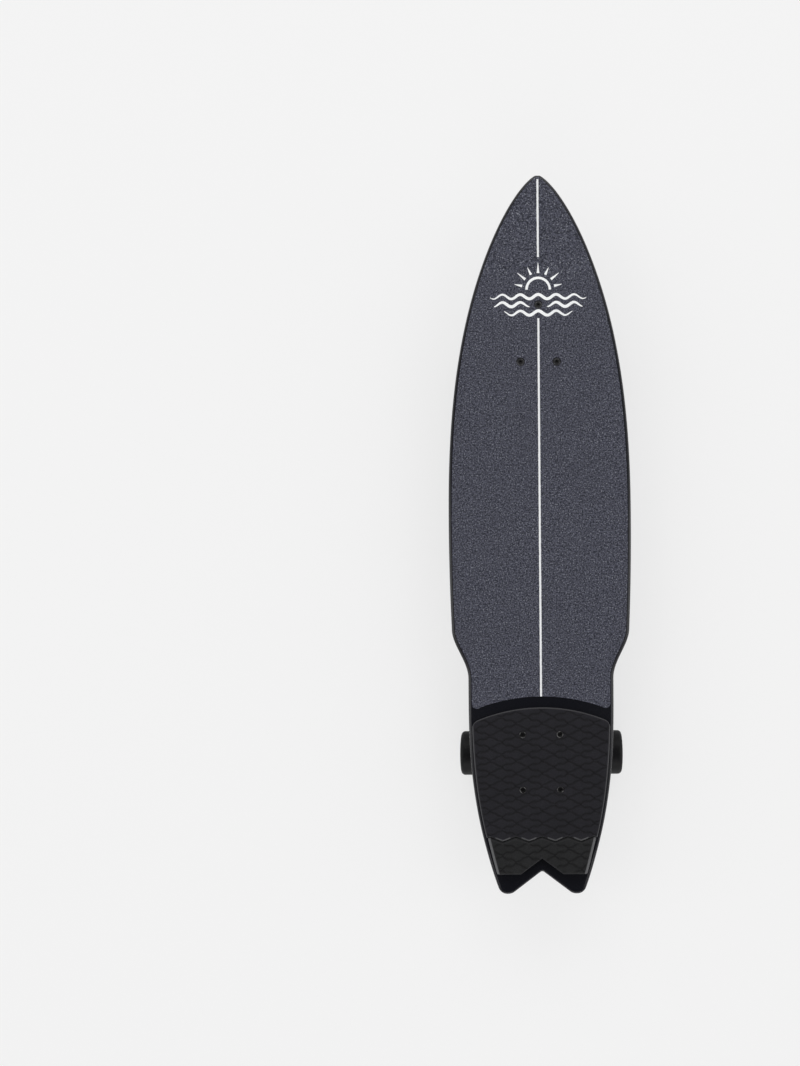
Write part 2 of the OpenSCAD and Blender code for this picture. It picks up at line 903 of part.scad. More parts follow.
module rear_kingpin_nut() {
    flange_h = 1.5;
    flange_out = 2.5;
    color("#b4b6b9")
        at_rear()
            king_frame()
                translate([0, 0, king_road - king_nut_h])
                    difference() {
                        union() {
                            hexagon(king_nut_af, king_nut_h);
                            translate([0, 0, king_nut_h - flange_h])
                                cylinder(h = flange_h, d = king_nut_af + 2 * flange_out);
                        }
                        translate([0, 0, -cut])
                            cylinder(h = king_nut_h + 2 * cut, d = king_d + 2 * press);
                    }
}

// The hanger's end passes a little way into the wheel, up to the speed washer
hanger_in = hub_recess - washer_t;

// Greatest lean of the hanger, degrees, and the scoop that lets it pass the lower washer and nut
rear_lean = 15;
scoop_d = cup_washer_d - 2 * king_road * sin(rear_lean) + 4 * slide_gap;
scoop_from = ring_t / 2 + bush_road_h / 2;
scoop_to = -king_tip + 1.5;

module rear_hanger() {
    bar_half = rear_half + hanger_in;
    web_t = 9;
    web_half = 37;
    neck_half = ring_d / 2 - 1;
    neck_down = 1;
    shoulder_half = ring_d / 2 + 4;
    shoulder_down = 9;
    rib_t = 12;
    rib_foot = bar_d / 3;
    stem_d1 = 20;
    stem_d2 = 14;
    stem_start = 10;
    stem_end = pivot_reach - 4;
    king_play = 1.9;
    slant = norm([ring_in, ring_up]);
    color("#a4a6a9")
        at_rear()
            difference() {
                union() {
                    translate([-bar_half, rear_axle_in, axle_z])
                        rotate([0, 90, 0])
                            cylinder(h = 2 * bar_half, d = bar_d);
                    translate([0, rear_axle_in, axle_z])
                        rotate([atan2(ring_up, ring_in), 0, 0])
                            linear_extrude(web_t, center = true)
                                polygon([
                                    [-web_half, 0], [web_half, 0],
                                    [shoulder_half, slant - shoulder_down], [neck_half, slant - neck_down],
                                    [-neck_half, slant - neck_down], [-shoulder_half, slant - shoulder_down]
                                ]);
                    rotate([90, 0, 90])
                        linear_extrude(rib_t, center = true)
                            polygon([
                                [rear_axle_in - rib_foot, axle_z],
                                [rear_axle_in + rib_foot, axle_z],
                                [ring_y, ring_z],
                                [ring_y - stem_end * cos(steer_tilt), ring_z + stem_end * sin(steer_tilt)]
                            ]);
                    king_frame()
                        cylinder(h = ring_t, d = ring_d, center = true);
                    steer_frame() {
                        translate([0, 0, stem_start])
                            cylinder(h = stem_end - stem_start, d1 = stem_d1, d2 = stem_d2);
                        translate([0, 0, stem_end - cut])
                            cylinder(h = pivot_reach + nose_deep - stem_end + cut, d = pivot_d);
                        translate([0, 0, pivot_reach + nose_deep])
                            sphere(d = pivot_d);
                    }
                }
                translate([-bar_half - cut, rear_axle_in, axle_z])
                    rotate([0, 90, 0])
                        cylinder(h = 2 * (bar_half + cut), d = axle_d + 2 * press);
                king_frame() {
                    cylinder(h = ring_t + 2 * cut, d = king_d + 2 * king_play, center = true);
                    translate([0, 0, bush_seat_z])
                        cylinder(h = through, d = bush_hole_d);
                    mirror([0, 0, 1]) {
                        translate([0, 0, bush_seat_z])
                            cylinder(h = ring_t, d = bush_hole_d);
                        translate([0, 0, ring_t / 2])
                            cylinder(h = scoop_from - ring_t / 2, d1 = bush_hole_d, d2 = scoop_d);
                        translate([0, 0, scoop_from - touch])
                            cylinder(h = scoop_to - scoop_from, d = scoop_d);
                    }
                }
            }
}

// Wheel frame: origin where the axle meets the wheel's inner face, X outwards
module wheel_side(half, axle_y, sx) {
    mirror([sx < 0 ? 1 : 0, 0, 0])
        translate([half, axle_y, axle_z])
            rotate([0, 90, 0])
                children();
}

inner_brg = hub_recess;
outer_brg = hub_recess + brg_w + spacer_len;
outer_washer = outer_brg + brg_w;
nut_at = outer_washer + washer_t;
axle_past = 2.5;
axle_end = nut_at + axle_nut_h + axle_past;
core_start = 0.5;
core_past = 2.3;
core_end = outer_washer + core_past;
web_bore_d = 19;

// Ball bearing rings: grooves follow the balls, and the rings stop a share of the ball short of its centre
ball_bare = 0.36;
shield_t = 0.35;
shield_in = 0.4;
shield_gap = 0.2;
function brg_pitch_r(od, bore) = (od + bore) / 4;

module inner_race(od, bore, width, ball) {
    pitch = brg_pitch_r(od, bore);
    rotate_extrude()
        difference() {
            translate([bore / 2 + press, 0])
                square([pitch - ball * ball_bare - bore / 2 - press, width]);
            translate([pitch, width / 2])
                circle(d = ball + 2 * ball_gap, $fn = 32);
        }
}

module outer_race(od, bore, width, ball, shielded) {
    pitch = brg_pitch_r(od, bore);
    bare = ball * ball_bare;
    rotate_extrude() {
        difference() {
            translate([pitch + bare, 0])
                square([od / 2 - press - pitch - bare, width]);
            translate([pitch, width / 2])
                circle(d = ball + 2 * ball_gap, $fn = 32);
        }
        if (shielded)
            for (z = [shield_in, width - shield_in - shield_t])
                translate([pitch - bare + shield_gap, z])
                    square([2 * bare, shield_t]);
    }
}

module race_balls(od, bore, width, ball, count) {
    for (i = [0:count - 1])
        rotate([0, 0, 360 * i / count])
            translate([brg_pitch_r(od, bore), 0, width / 2])
                sphere(d = ball, $fn = 24);
}

module tyre() {
    arc = [for (i = [0:corner_steps]) 90 * i / corner_steps];
    flare = 4;
    rotate_extrude($fn = 96)
        polygon(concat(
            [[core_d / 2, core_end], [core_d / 2, 0]],
            [for (a = arc) [wheel_d / 2 - lip_r + lip_r * sin(a), lip_r - lip_r * cos(a)]],
            [for (a = arc) [wheel_d / 2 - lip_r + lip_r * cos(a), wheel_w - lip_r + lip_r * sin(a)]],
            [[core_d / 2 + flare, wheel_w]]
        ));
}

module core() {
    rotate_extrude()
        difference() {
            translate([0, core_start])
                square([core_d / 2 - press, core_end - core_start]);
            square([web_bore_d / 2, wheel_w]);
            square([brg_od / 2 + press, inner_brg + brg_w]);
            translate([0, outer_brg])
                square([brg_od / 2 + press, wheel_w]);
        }
}

module wheel_outer_races() {
    for (x = [inner_brg, outer_brg])
        translate([0, 0, x])
            outer_race(brg_od, axle_d, brg_w, ball_d, true);
}

module wheel_balls() {
    for (x = [inner_brg, outer_brg])
        translate([0, 0, x])
            race_balls(brg_od, axle_d, brg_w, ball_d, ball_count);
}

module wheel_inner_races() {
    for (x = [inner_brg, outer_brg])
        translate([0, 0, x])
            inner_race(brg_od, axle_d, brg_w, ball_d);
}

module tube(bore, od, height) {
    difference() {
        cylinder(h = height, d = od);
        translate([0, 0, -cut])
            cylinder(h = height + 2 * cut, d = bore);
    }
}

module wheel_spacer() {
    wall = 1.8;
    translate([0, 0, inner_brg + brg_w])
        tube(axle_d + 2 * press, axle_d + 2 * wall, spacer_len);
}

module wheel_washers() {
    wide = 2;
    for (x = [hanger_in, outer_washer])
        translate([0, 0, x])
            tube(axle_d + 2 * press, axle_d + 2 * wide, washer_t);
}

module wheel_nut() {
    collar_in = 0.75;
    translate([0, 0, nut_at])
        difference() {
            union() {
                hexagon(axle_nut_af, axle_nut_h);
                translate([0, 0, axle_nut_h - cut])
                    cylinder(h = cut + collar_h, d = axle_nut_af - 2 * collar_in);
            }
            translate([0, 0, -cut])
                cylinder(h = axle_nut_h + collar_h + 2 * cut, d = axle_d + 2 * press);
        }
}

module axle_rod(half, axle_y) {
    translate([-half - axle_end, axle_y, axle_z])
        rotate([0, 90, 0])
            cylinder(h = 2 * (half + axle_end), d = axle_d);
}

module rear_pair() {
    at_rear()
        for (sx = [-1, 1])
            wheel_side(rear_half, rear_axle_in, sx)
                children();
}

module front_pair() {
    at_front()
        for (sx = [-1, 1])
            wheel_side(front_half, front_trail, sx)
                children();
}

module rear_axle() {
    color("#8f9194")
        at_rear()
            axle_rod(rear_half, rear_axle_in);
}

module rear_speed_washers() {
    color("#b0b2b5")
        rear_pair()
            wheel_washers();
}

module rear_axle_nuts() {
    color("#2b2b2d")
        rear_pair()
            wheel_nut();
}

module rear_inner_races() {
    color("#c0c2c5")
        rear_pair()
            wheel_inner_races();
}

module rear_spacers() {
    color("#9a9c9f")
        rear_pair()
            wheel_spacer();
}

// Front truck, fixed part
floor_z = base_z - base_t;
rim_r = disc_r + slide_gap + seat_gap;
rim_h = 6;
rim_z = floor_z - rim_h;
rim_sink = 0.5;
hub_clear = 0.5;
foot_ledge = 0.4;
foot_r = rim_r + rim_wall + foot_ledge;
thrust_t = 1;
thrust_out_r = disc_r - 1;
arm_top = floor_z - thrust_t - run_gap;
hub_wall = 2.5;
hub_d = swivel_od + 2 * hub_wall;
hub_h = 4;
hub_z = floor_z - hub_h;
hub_lip = 1.4;
swivel_z = hub_z + hub_lip;
hub_hole_d = 21;

// Springs: each lies flat on a slanted line, from the arm's tab out to the tray's end block
spring_r = spring_d / 2;
spring_room = 0.5;
spring_z = floor_z - spring_r - spring_room;
spring_in = [15.5, 29.5];
spring_dir = [cos(spring_slant), -sin(spring_slant)];
spring_side = [sin(spring_slant), cos(spring_slant)];
spring_seat_gap = 0.2;
tray_wall = 2.5;
tray_back = 3;
block_t = 3.5;
wall_from = 9.5;

// Ear and lug outlines, from the bolt holes
ear_pts = [
    [7.4, -7.9, 2], [11, -3.1, 2], [11, 4.1, 2], [8.3, 12.3, 2], [-2, 12.3, 2], [-12.1, -2.4, 2], [-6, -12, 1]
];
function ear(hole) = rounded([for (p = ear_pts) [hole.x + p.x, hole.y + p.y, p.z]]);
lug_half = 7.5;
lug_over = 9;
lug_tip_half = 2.5;
lug_taper = 4;

module lug_shape() {
    tip = -front_pitch / 2 - lug_over;
    polygon(rounded([
        [lug_half, 0, 0], [-lug_half, 0, 0], [-lug_half, tip + lug_taper, 3],
        [-lug_tip_half, tip, 2], [lug_tip_half, tip, 2], [lug_half, tip + lug_taper, 3]
    ]));
}

module ears_shape() {
    both_sides()
        polygon(ear(front_holes[2]));
}

// Footprint of the base casting, without its wings, as a slab of the given height
module front_foot(height) {
    cylinder(h = height, r = foot_r);
    linear_extrude(height)
        lug_shape();
    linear_extrude(height)
        ears_shape();
    both_sides()
        linear_extrude(height)
            tray_floor();
}

// Tray under one spring, drawn along the spring's own line
module along_spring() {
    translate([spring_in.x, spring_in.y, 0])
        rotate([0, 0, -spring_slant])
            children();
}

tray_reach = spring_r + spring_room + tray_wall;
tray_h = 7;
tray_z = floor_z - tray_h;

module tray_floor() {
    along_spring()
        translate([-tray_back, -tray_reach, 0])
            square([tray_back + spring_len + spring_seat_gap + block_t, 2 * tray_reach]);
}

module tray_walls() {
    along_spring() {
        translate([spring_len + spring_seat_gap, -spring_r, 0])
            square([block_t, spring_r + tray_reach]);
        translate([wall_from, tray_reach - tray_wall, 0])
            square([spring_len + spring_seat_gap - wall_from, tray_wall]);
    }
}

// Wing: a broad blade that reaches ahead of the wheel, listed from its root round its tip
wing_pts = [
    [9, -33, 0], [41, -57, 4], [46, -56.6, 3], [58.6, -46, 5], [59, -42, 3], [50, -31, 3], [40.5, -29, 3],
    [32.5, -3.6, 0], [20, 4, 0]
];
wing_t = 7;
wing_z = base_z - wing_t;
wing_pocket = 1.5;
wing_core = [38, -37];
wing_inner = 0.72;

module wing_shape(f) {
    polygon(rounded([
        for (p = wing_pts)
            [wing_core.x + (p.x - wing_core.x) * f, wing_core.y + (p.y - wing_core.y) * f, p.z * f]
    ]));
}

// The ears stop clear of the disc's rim and of the springs
ear_clear_r = 38;
ear_cut_back = 9;
ear_cut_wide = 20;

module spring_room_shape() {
    both_sides()
        along_spring()
            translate([-ear_cut_back, -ear_cut_wide])
                square([through, ear_cut_wide + spring_r + slide_gap]);
}

module front_base() {
    rim_gap = 72;
    color("#b3b5b8")
        at_front()
            difference() {
                union() {
                    translate([0, 0, floor_z])
                        front_foot(base_t);
                    both_sides() {
                        difference() {
                            translate([0, 0, wing_z])
                                linear_extrude(wing_t)
                                    wing_shape(1);
                            translate([0, 0, wing_z - cut])
                                linear_extrude(wing_pocket + cut)
                                    wing_shape(wing_inner);
                        }
                        translate([0, 0, tray_z])
                            linear_extrude(tray_h + rim_sink)
                                tray_walls();
                    }
                    translate([0, 0, rim_z])
                        rotate([0, 0, 90 + rim_gap])
                            rotate_extrude(angle = full_turn - 2 * rim_gap, $fn = 96)
                                translate([rim_r, 0])
                                    square([rim_wall, rim_h + rim_sink]);
                    translate([0, 0, lug_z])
                        linear_extrude(lug_h)
                            difference() {
                                lug_shape();
                                circle(r = rim_r + rim_wall / 2);
                            }
                    translate([0, 0, ear_z])
                        linear_extrude(ear_h)
                            difference() {
                                ears_shape();
                                circle(r = ear_clear_r);
                                spring_room_shape();
                            }
                    translate([0, 0, hub_z])
                        cylinder(h = base_z - hub_z, d = hub_d);
                }
                at_holes(front_holes)
                    translate([0, 0, lug_z - cut])
                        cylinder(h = lug_h + 2 * cut, d = bolt_hole_d);
                translate([0, 0, swivel_z])
                    cylinder(h = through, d = swivel_od + 2 * press);
                translate([0, 0, hub_z - cut])
                    cylinder(h = through, d = hub_hole_d);
            }
}

// A spring is one unbroken wire: a helix with a short straight lead at each end
wire_sides = 6;
curl_rings = 8;
lead = wire_d;
helix_r = (spring_d - wire_d) / 2;
helix_len = spring_len - 2 * lead;
spring_path = concat(
    [[helix_r, 0, 0]],
    [
        for (i = [0:spring_curls * curl_rings])
            let(a = 360 * i / curl_rings)
                [helix_r * cos(a), helix_r * sin(a), lead + helix_len * i / (spring_curls * curl_rings)]
    ],
    [[helix_r, 0, spring_len]]
);

function path_dir(path, i) = unit(path[min(i + 1, len(path) - 1)] - path[max(i - 1, 0)]);

// Ring of points round path point i; end rings lie square to the spring's axis
function wire_ring(path, i) =
    let(end = i == 0 || i == len(path) - 1, t = end ? [0, 0, 1] : path_dir(path, i))
    let(side = unit(cross(t, [-path[i].y, path[i].x, 0])), up = cross(side, t))
    [
        for (k = [0:wire_sides - 1])
            path[i] + wire_d / 2 * (side * cos(360 * k / wire_sides) + up * sin(360 * k / wire_sides))
    ];

module wire(path) {
    n = len(path);
    m = wire_sides;
    pts = [for (i = [0:n - 1]) each wire_ring(path, i)];
    walls = [
        for (i = [0:n - 2], k = [0:m - 1])
            let(a = i * m + k, b = i * m + (k + 1) % m)
                each [[a, b, b + m], [a, b + m, a + m]]
    ];
    caps = [for (k = [1:m - 2]) each [[0, k + 1, k], [(n - 1) * m, (n - 1) * m + k, (n - 1) * m + k + 1]]];
    polyhedron(points = pts, faces = concat(walls, caps), convexity = 10);
}

// Least gap from the wire to itself, over all pairs of path points at least half a curl apart
function self_gap(path) = min([
    for (i = [0:len(path) - 1], j = [i + curl_rings / 2:1:len(path) - 1]) norm(path[i] - path[j])
]) - wire_d;
echo(spring_self_gap = self_gap(spring_path));

module spring(sx) {
    color("#8d9094")
        at_front()
            scale([sx, 1, 1])
                translate([
                    spring_in.x + spring_seat_gap * spring_dir.x / 2,
                    spring_in.y + spring_seat_gap * spring_dir.y / 2,
                    spring_z
                ])
                    rotate([0, 0, -spring_slant])
                        rotate([0, 90, 0])
                            wire(spring_path);
}

// The left spring is the one on the left of a rider who looks at the nose
module spring_left() {
    spring(1);
}

module spring_right() {
    spring(-1);
}

module thrust_washer() {
    color("#d8d8d2")
        at_front()
            translate([0, 0, floor_z - thrust_t])
                tube(hub_d + 2 * hub_clear, 2 * thrust_out_r, thrust_t);
}

swivel_ball_d = ball_d + 0.6;

module swivel_outer_race() {
    color("#c0c2c5")
        at_front()
            translate([0, 0, swivel_z])
                outer_race(swivel_od, swivel_d, swivel_w, swivel_ball_d, false);
}

module swivel_balls_set() {
    color("#d0d2d5")
        at_front()
            translate([0, 0, swivel_z])
                race_balls(swivel_od, swivel_d, swivel_w, swivel_ball_d, swivel_balls);
}

module swivel_inner_race() {
    color("#c0c2c5")
        at_front()
            translate([0, 0, swivel_z])
                inner_race(swivel_od, swivel_d, swivel_w, swivel_ball_d);
}

// Lean frame: origin over the axle, Z down along the lean axis towards the tail
lean_z = axle_z + lean_up;
module lean_frame() {
    translate([0, front_trail, lean_z])
        rotate([-(90 + lean_tilt), 0, 0])
            children();
}

lug_face = -12.8;
sleeve_gap = 0.2;
sleeve_start = lug_face + sleeve_gap;
lean_ring_start = 9;
lean_ring_end = 15;
bush_start = lean_ring_start - 2;
bush_end = lean_ring_end + 1;
lean_washer_t = 1.5;
lean_head = bush_end + seat_gap + lean_washer_t;
lean_bolt_start = -29;
stem_low = lean_z + sleeve_d - 2;

module swivel_arm() {
    lug_front = -9;
    lug_front_half = 7;
    lug_rear_half = 14.5;
    lug_root = floor_z - 4;
    lug_reach = 8;
    lug_past = 1;
    lug_nose = 5;
    lug_heel = [-2, 4];
    hub_room = 0.7;
    bore_wall = 2;
    // Point on the lean axis at the lug's rear face, and the face's direction
    face_at = [front_trail + lug_face * cos(lean_tilt), lean_z - lug_face * sin(lean_tilt)];
    face_dir = [sin(lean_tilt), cos(lean_tilt)];
    low = face_at - sleeve_d / 2 * face_dir;
    high = face_at + sleeve_d / 2 * face_dir;
    tab_inward = 4.2;
    tab_outward = 3.6;
    tab_in = spring_in - tab_inward * spring_side;
    tab_out = spring_in + tab_outward * spring_side;
    tab_root = 8;
    tab_rear = 34.5;
    tab_half = 10;
    tab_z = spring_z - spring_r + slide_gap;
    color("#9fa1a4")
        at_front()
            difference() {
                union() {
                    translate([0, 0, arm_top - disc_t])
                        cylinder(h = disc_t, r = disc_r, $fn = 96);
                    translate([0, 0, tab_z])
                        linear_extrude(arm_top - tab_z)
                            polygon([
                                [-tab_in.x, tab_root], [-tab_in.x, tab_in.y], [-tab_out.x, tab_out.y],
                                [-tab_half, tab_rear], [tab_half, tab_rear],
                                [tab_out.x, tab_out.y], [tab_in.x, tab_in.y], [tab_in.x, tab_root]
                            ]);
                    intersection() {
                        translate([0, 0, low.y - lug_nose])
                            linear_extrude(arm_top - low.y)
                                polygon([
                                    [-lug_front_half, lug_front - lug_reach],
                                    [lug_front_half, lug_front - lug_reach],
                                    [lug_rear_half, high.x + lug_past], [-lug_rear_half, high.x + lug_past]
                                ]);
                        rotate([90, 0, 90])
                            linear_extrude(4 * lug_rear_half, center = true)
                                polygon([
                                    [lug_front - lug_nose, lug_root], [lug_front, low.y + lug_nose],
                                    low, high, high + lug_heel, [high.x + lug_heel.x, lug_root]
                                ]);
                    }
                }
                difference() {
                    translate([0, 0, hub_z - hub_room])
                        cylinder(h = through, d = hub_d + 2 * hub_room);
                    cylinder(h = swivel_z - press, d = swivel_d + 2 * bore_wall);
                }
                translate([0, 0, stem_low])
                    cylinder(h = through, d = swivel_d + 2 * press);
                lean_frame()
                    translate([0, 0, lean_bolt_start - cut])
                        cylinder(h = -lean_bolt_start, d = lean_bolt_d + 2 * press);
            }
}

module swivel_bolt() {
    head_d = 16;
    head_h = 4.4;
    hex_af = 6;
    hex_deep = 3;
    tip = stem_low + slide_gap;
    head_z = swivel_z + swivel_w;
    color("#88898c")
        at_front()
            difference() {
                union() {
                    translate([0, 0, tip])
                        cylinder(h = head_z - tip + cut, d = swivel_d);
                    translate([0, 0, head_z])
                        cylinder(h = head_h, d = head_d);
                }
                translate([0, 0, head_z + head_h - hex_deep])
                    hexagon(hex_af, hex_deep + cut);
            }
}

module front_kingpin() {
    hex_deep = 5;
    tip = lean_head + lean_head_h;
    color("#c4c6c8")
        at_front()
            lean_frame()
                difference() {
                    union() {
                        translate([0, 0, lean_bolt_start])
                            cylinder(h = tip - lean_bolt_start - cut, d = lean_bolt_d);
                        translate([0, 0, lean_head])
                            cylinder(h = lean_head_h, d = lean_head_d);
                    }
                    translate([0, 0, tip - hex_deep])
                        hexagon(lean_hex_af, hex_deep + cut);
                }
}

module front_kingpin_washer() {
    color("#b8babd")
        at_front()
            lean_frame()
                translate([0, 0, lean_head - lean_washer_t])
                    tube(lean_bolt_d + 2 * press, lean_bush_d - 1, lean_washer_t);
}

module front_ring_bushing() {
    color("#2c2c2e")
        at_front()
            lean_frame()
                translate([0, 0, bush_start])
                    tube(lean_bolt_d + 2 * run_gap, lean_bush_d, bush_end - bush_start);
}

module front_hanger() {
    bar_half = front_half + hanger_in;
    chamfer = 2.5;
    cw = cross_w / 2;
    ch = cross_h / 2;
    brace_sink = 3;
    brace_rise = 2;
    brace_z = [axle_z + ch - brace_sink, lean_z + brace_rise];
    brace_neck = sleeve_d / 2 - 1;
    brace_t = 9;
    brace_half = 34;
    plate_half = 33;
    plate_thk = 6;
    plate_drop = 5;
    plate_end = [-2, 4];
    plate_neck = lean_ring_d / 2 - 1;
    color("#a7a9ac")
        at_front()
            difference() {
                union() {
                    translate([0, front_trail, axle_z])
                        rotate([90, 0, 90])
                            linear_extrude(2 * bar_half, center = true)
                                polygon([
                                    [cw, ch - chamfer], [cw - chamfer, ch],
                                    [chamfer - cw, ch], [-cw, ch - chamfer],
                                    [-cw, chamfer - ch], [chamfer - cw, -ch],
                                    [cw - chamfer, -ch], [cw, chamfer - ch]
                                ]);
                    lean_frame() {
                        translate([0, 0, sleeve_start])
                            cylinder(h = lean_ring_start - sleeve_start + cut, d = sleeve_d);
                        translate([0, 0, lean_ring_start])
                            cylinder(h = lean_ring_end - lean_ring_start, d = lean_ring_d);
                        translate([0, plate_drop + plate_thk / 2, 0])
                            rotate([90, 0, 0])
                                linear_extrude(plate_thk)
                                    polygon([
                                        [-plate_half, plate_end.x], [plate_half, plate_end.x],
                                        [plate_half, plate_end.y], [plate_neck, lean_ring_end - 2],
                                        [-plate_neck, lean_ring_end - 2], [-plate_half, plate_end.y]
                                    ]);
                    }
                    translate([0, front_trail + brace_t / 2, 0])
                        rotate([90, 0, 0])
                            linear_extrude(brace_t)
                                polygon([
                                    [-brace_half, brace_z.x], [brace_half, brace_z.x],
                                    [brace_neck, brace_z.y], [-brace_neck, brace_z.y]
                                ]);
                }
                translate([-bar_half - cut, front_trail, axle_z])
                    rotate([0, 90, 0])
                        cylinder(h = 2 * (bar_half + cut), d = axle_d + 2 * press);
                lean_frame() {
                    translate([0, 0, sleeve_start - cut])
                        cylinder(h = through, d = lean_bolt_d + 2 * run_gap);
                    translate([0, 0, bush_start])
                        cylinder(h = through, d = lean_bush_d + 2 * press);
                }
            }
}

module front_axle() {
    color("#8f9194")
        at_front()
            axle_rod(front_half, front_trail);
}

module front_speed_washers() {
    color("#b0b2b5")
        front_pair()
            wheel_washers();
}

module front_axle_nuts() {
    color("#2b2b2d")
        front_pair()
            wheel_nut();
}

module front_inner_races() {
    color("#c0c2c5")
        front_pair()
            wheel_inner_races();
}

module front_spacers() {
    color("#9a9c9f")
        front_pair()
            wheel_spacer();
}

// Wheels: the rider's left is -X; the front truck's frame is turned about, so its sides swap
module front_wheel(left) {
    at_front()
        wheel_side(front_half, front_trail, left ? 1 : -1)
            children();
}

module rear_wheel(left) {
    at_rear()
        wheel_side(rear_half, rear_axle_in, left ? -1 : 1)
            children();
}

module tyre_look() {
    color("#17171a")
        tyre();
}

module core_look() {
    color("#232326")
        core();
}

module races_look() {
    color("#b9bbbe")
        wheel_outer_races();
}

module balls_look() {
    color("#d0d2d5")
        wheel_balls();
}

deck();
grip_sheet();
traction_pad();
kick_pad();
front_riser();
rear_riser();
front_deck_bolts();
front_lock_nuts();
rear_deck_bolts();
rear_lock_nuts();
rear_baseplate();
rear_pivot_cup();
rear_kingpin();
rear_bushing_deck();
rear_bushing_road();
rear_cup_washers();
rear_kingpin_nut();
rear_hanger();
rear_axle();
rear_speed_washers();
rear_axle_nuts();
rear_inner_races();
rear_spacers();
front_base();
spring_left();
spring_right();
thrust_washer();
swivel_outer_race();
swivel_balls_set();
swivel_inner_race();
swivel_arm();
swivel_bolt();
front_kingpin();
front_kingpin_washer();
front_hanger();
front_ring_bushing();
front_axle();
front_speed_washers();
front_axle_nuts();
front_inner_races();
front_spacers();
front_wheel(true) tyre_look();  // tyre_front_left
front_wheel(true) core_look();  // core_front_left
front_wheel(true) races_look();  // outer_races_front_left
front_wheel(true) balls_look();  // balls_front_left
front_wheel(false) tyre_look();  // tyre_front_right
front_wheel(false) core_look();  // core_front_right
front_wheel(false) races_look();  // outer_races_front_right
front_wheel(false) balls_look();  // balls_front_right
rear_wheel(true) tyre_look();  // tyre_rear_left
rear_wheel(true) core_look();  // core_rear_left
rear_wheel(true) races_look();  // outer_races_rear_left
rear_wheel(true) balls_look();  // balls_rear_left
rear_wheel(false) tyre_look();  // tyre_rear_right
rear_wheel(false) core_look();  // core_rear_right
rear_wheel(false) races_look();  // outer_races_rear_right
rear_wheel(false) balls_look();  // balls_rear_right
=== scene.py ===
import json
import math
import random

import bmesh
import bpy
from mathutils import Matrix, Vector
from mathutils.geometry import tessellate_polygon


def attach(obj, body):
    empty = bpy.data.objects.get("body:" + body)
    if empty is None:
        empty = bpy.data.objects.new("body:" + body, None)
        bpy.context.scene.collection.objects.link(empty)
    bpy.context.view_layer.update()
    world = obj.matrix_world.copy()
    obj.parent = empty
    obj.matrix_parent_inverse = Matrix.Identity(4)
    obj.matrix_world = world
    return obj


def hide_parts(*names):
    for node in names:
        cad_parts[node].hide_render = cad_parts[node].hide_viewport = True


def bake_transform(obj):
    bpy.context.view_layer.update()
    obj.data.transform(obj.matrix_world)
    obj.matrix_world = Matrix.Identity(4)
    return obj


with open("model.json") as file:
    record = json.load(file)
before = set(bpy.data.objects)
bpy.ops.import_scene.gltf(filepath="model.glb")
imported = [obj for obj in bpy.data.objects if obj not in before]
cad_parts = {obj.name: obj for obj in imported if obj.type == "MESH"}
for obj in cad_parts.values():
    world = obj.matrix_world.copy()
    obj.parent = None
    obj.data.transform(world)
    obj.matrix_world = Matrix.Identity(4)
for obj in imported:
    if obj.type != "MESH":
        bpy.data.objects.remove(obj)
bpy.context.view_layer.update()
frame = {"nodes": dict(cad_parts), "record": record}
NODES = frame["nodes"]
scene = bpy.context.scene
scene.view_settings.view_transform = "Standard"

MM = 0.001

# Board sizes in millimetres, the same as the solids'
HALF_LEN = 457.2
DECK_WID = 235.0
DECK_THK = 11.0
DECK_Z = 98.0
DECK_TOP = DECK_Z + DECK_THK
GRIP_THK = 0.8
GRIP_TOP = DECK_TOP + GRIP_THK
WIDE_AHEAD = 20.0
NOSE_BLUNT, NOSE_ALONG, NOSE_ACROSS = 1.0, 2.4, 0.7
SIDE_R = 3150.0
WING_FRONT, WING_LEN = -120.7, 62.0
WAIST = 187.0
TAPER_Y = -198.0
TAIL_WID, TAIL_POWER = 106.0, 2.6
NOTCH_DEPTH, NOTCH_HALF = 28.0, 38.8
TAIL_CORNER_R, LOBE_R, NOTCH_R = 12.0, 14.0, 4.0
NOSE_RISE, NOSE_RISE_LEN = 12.6, 147.0
KICK_Y, KICK_ANGLE, KICK_BEND = -392.2, math.radians(12), 100.0
FRONT_Y, REAR_Y = 260.4, -290.6
REAR_AXLE_Y = REAR_Y + 5.5
WELL_DEPTH, WELL_WID, WELL_R, WELL_REACH = 3.5, 31.0, 400.0, 60.0
FRONT_HOLES = [(0, 36.65), (-23.25, -36.65), (23.25, -36.65)]
REAR_HOLES = [(x, y) for x in (-24, 24) for y in (-35.5, 35.5)]
HOLES = [(x, y + FRONT_Y) for x, y in FRONT_HOLES] + [(x, y + REAR_Y) for x, y in REAR_HOLES]
EDGE_INSET = 4.5
PAD_CENTRE, PAD_R = -435.0, 215.0
PAD_THK = 4.0
KICK_PAD_Y, KICK_PAD_END = -386.0, -430.2
TOOTH, TOOTH_PITCH = 6.4, 33.4
PAD_NOTCH_HALF, PAD_NOTCH_DEPTH = 27.0, 18.0
KICK_LOW, KICK_HIGH, WEDGE_CURVE = 5.5, 16.0, 1.6
KICK_INSET = 6.0


def clamp(v, low=0.0, high=1.0):
    return max(low, min(high, v))


def smooth(t):
    t = clamp(t)
    return t * t * (3 - 2 * t)


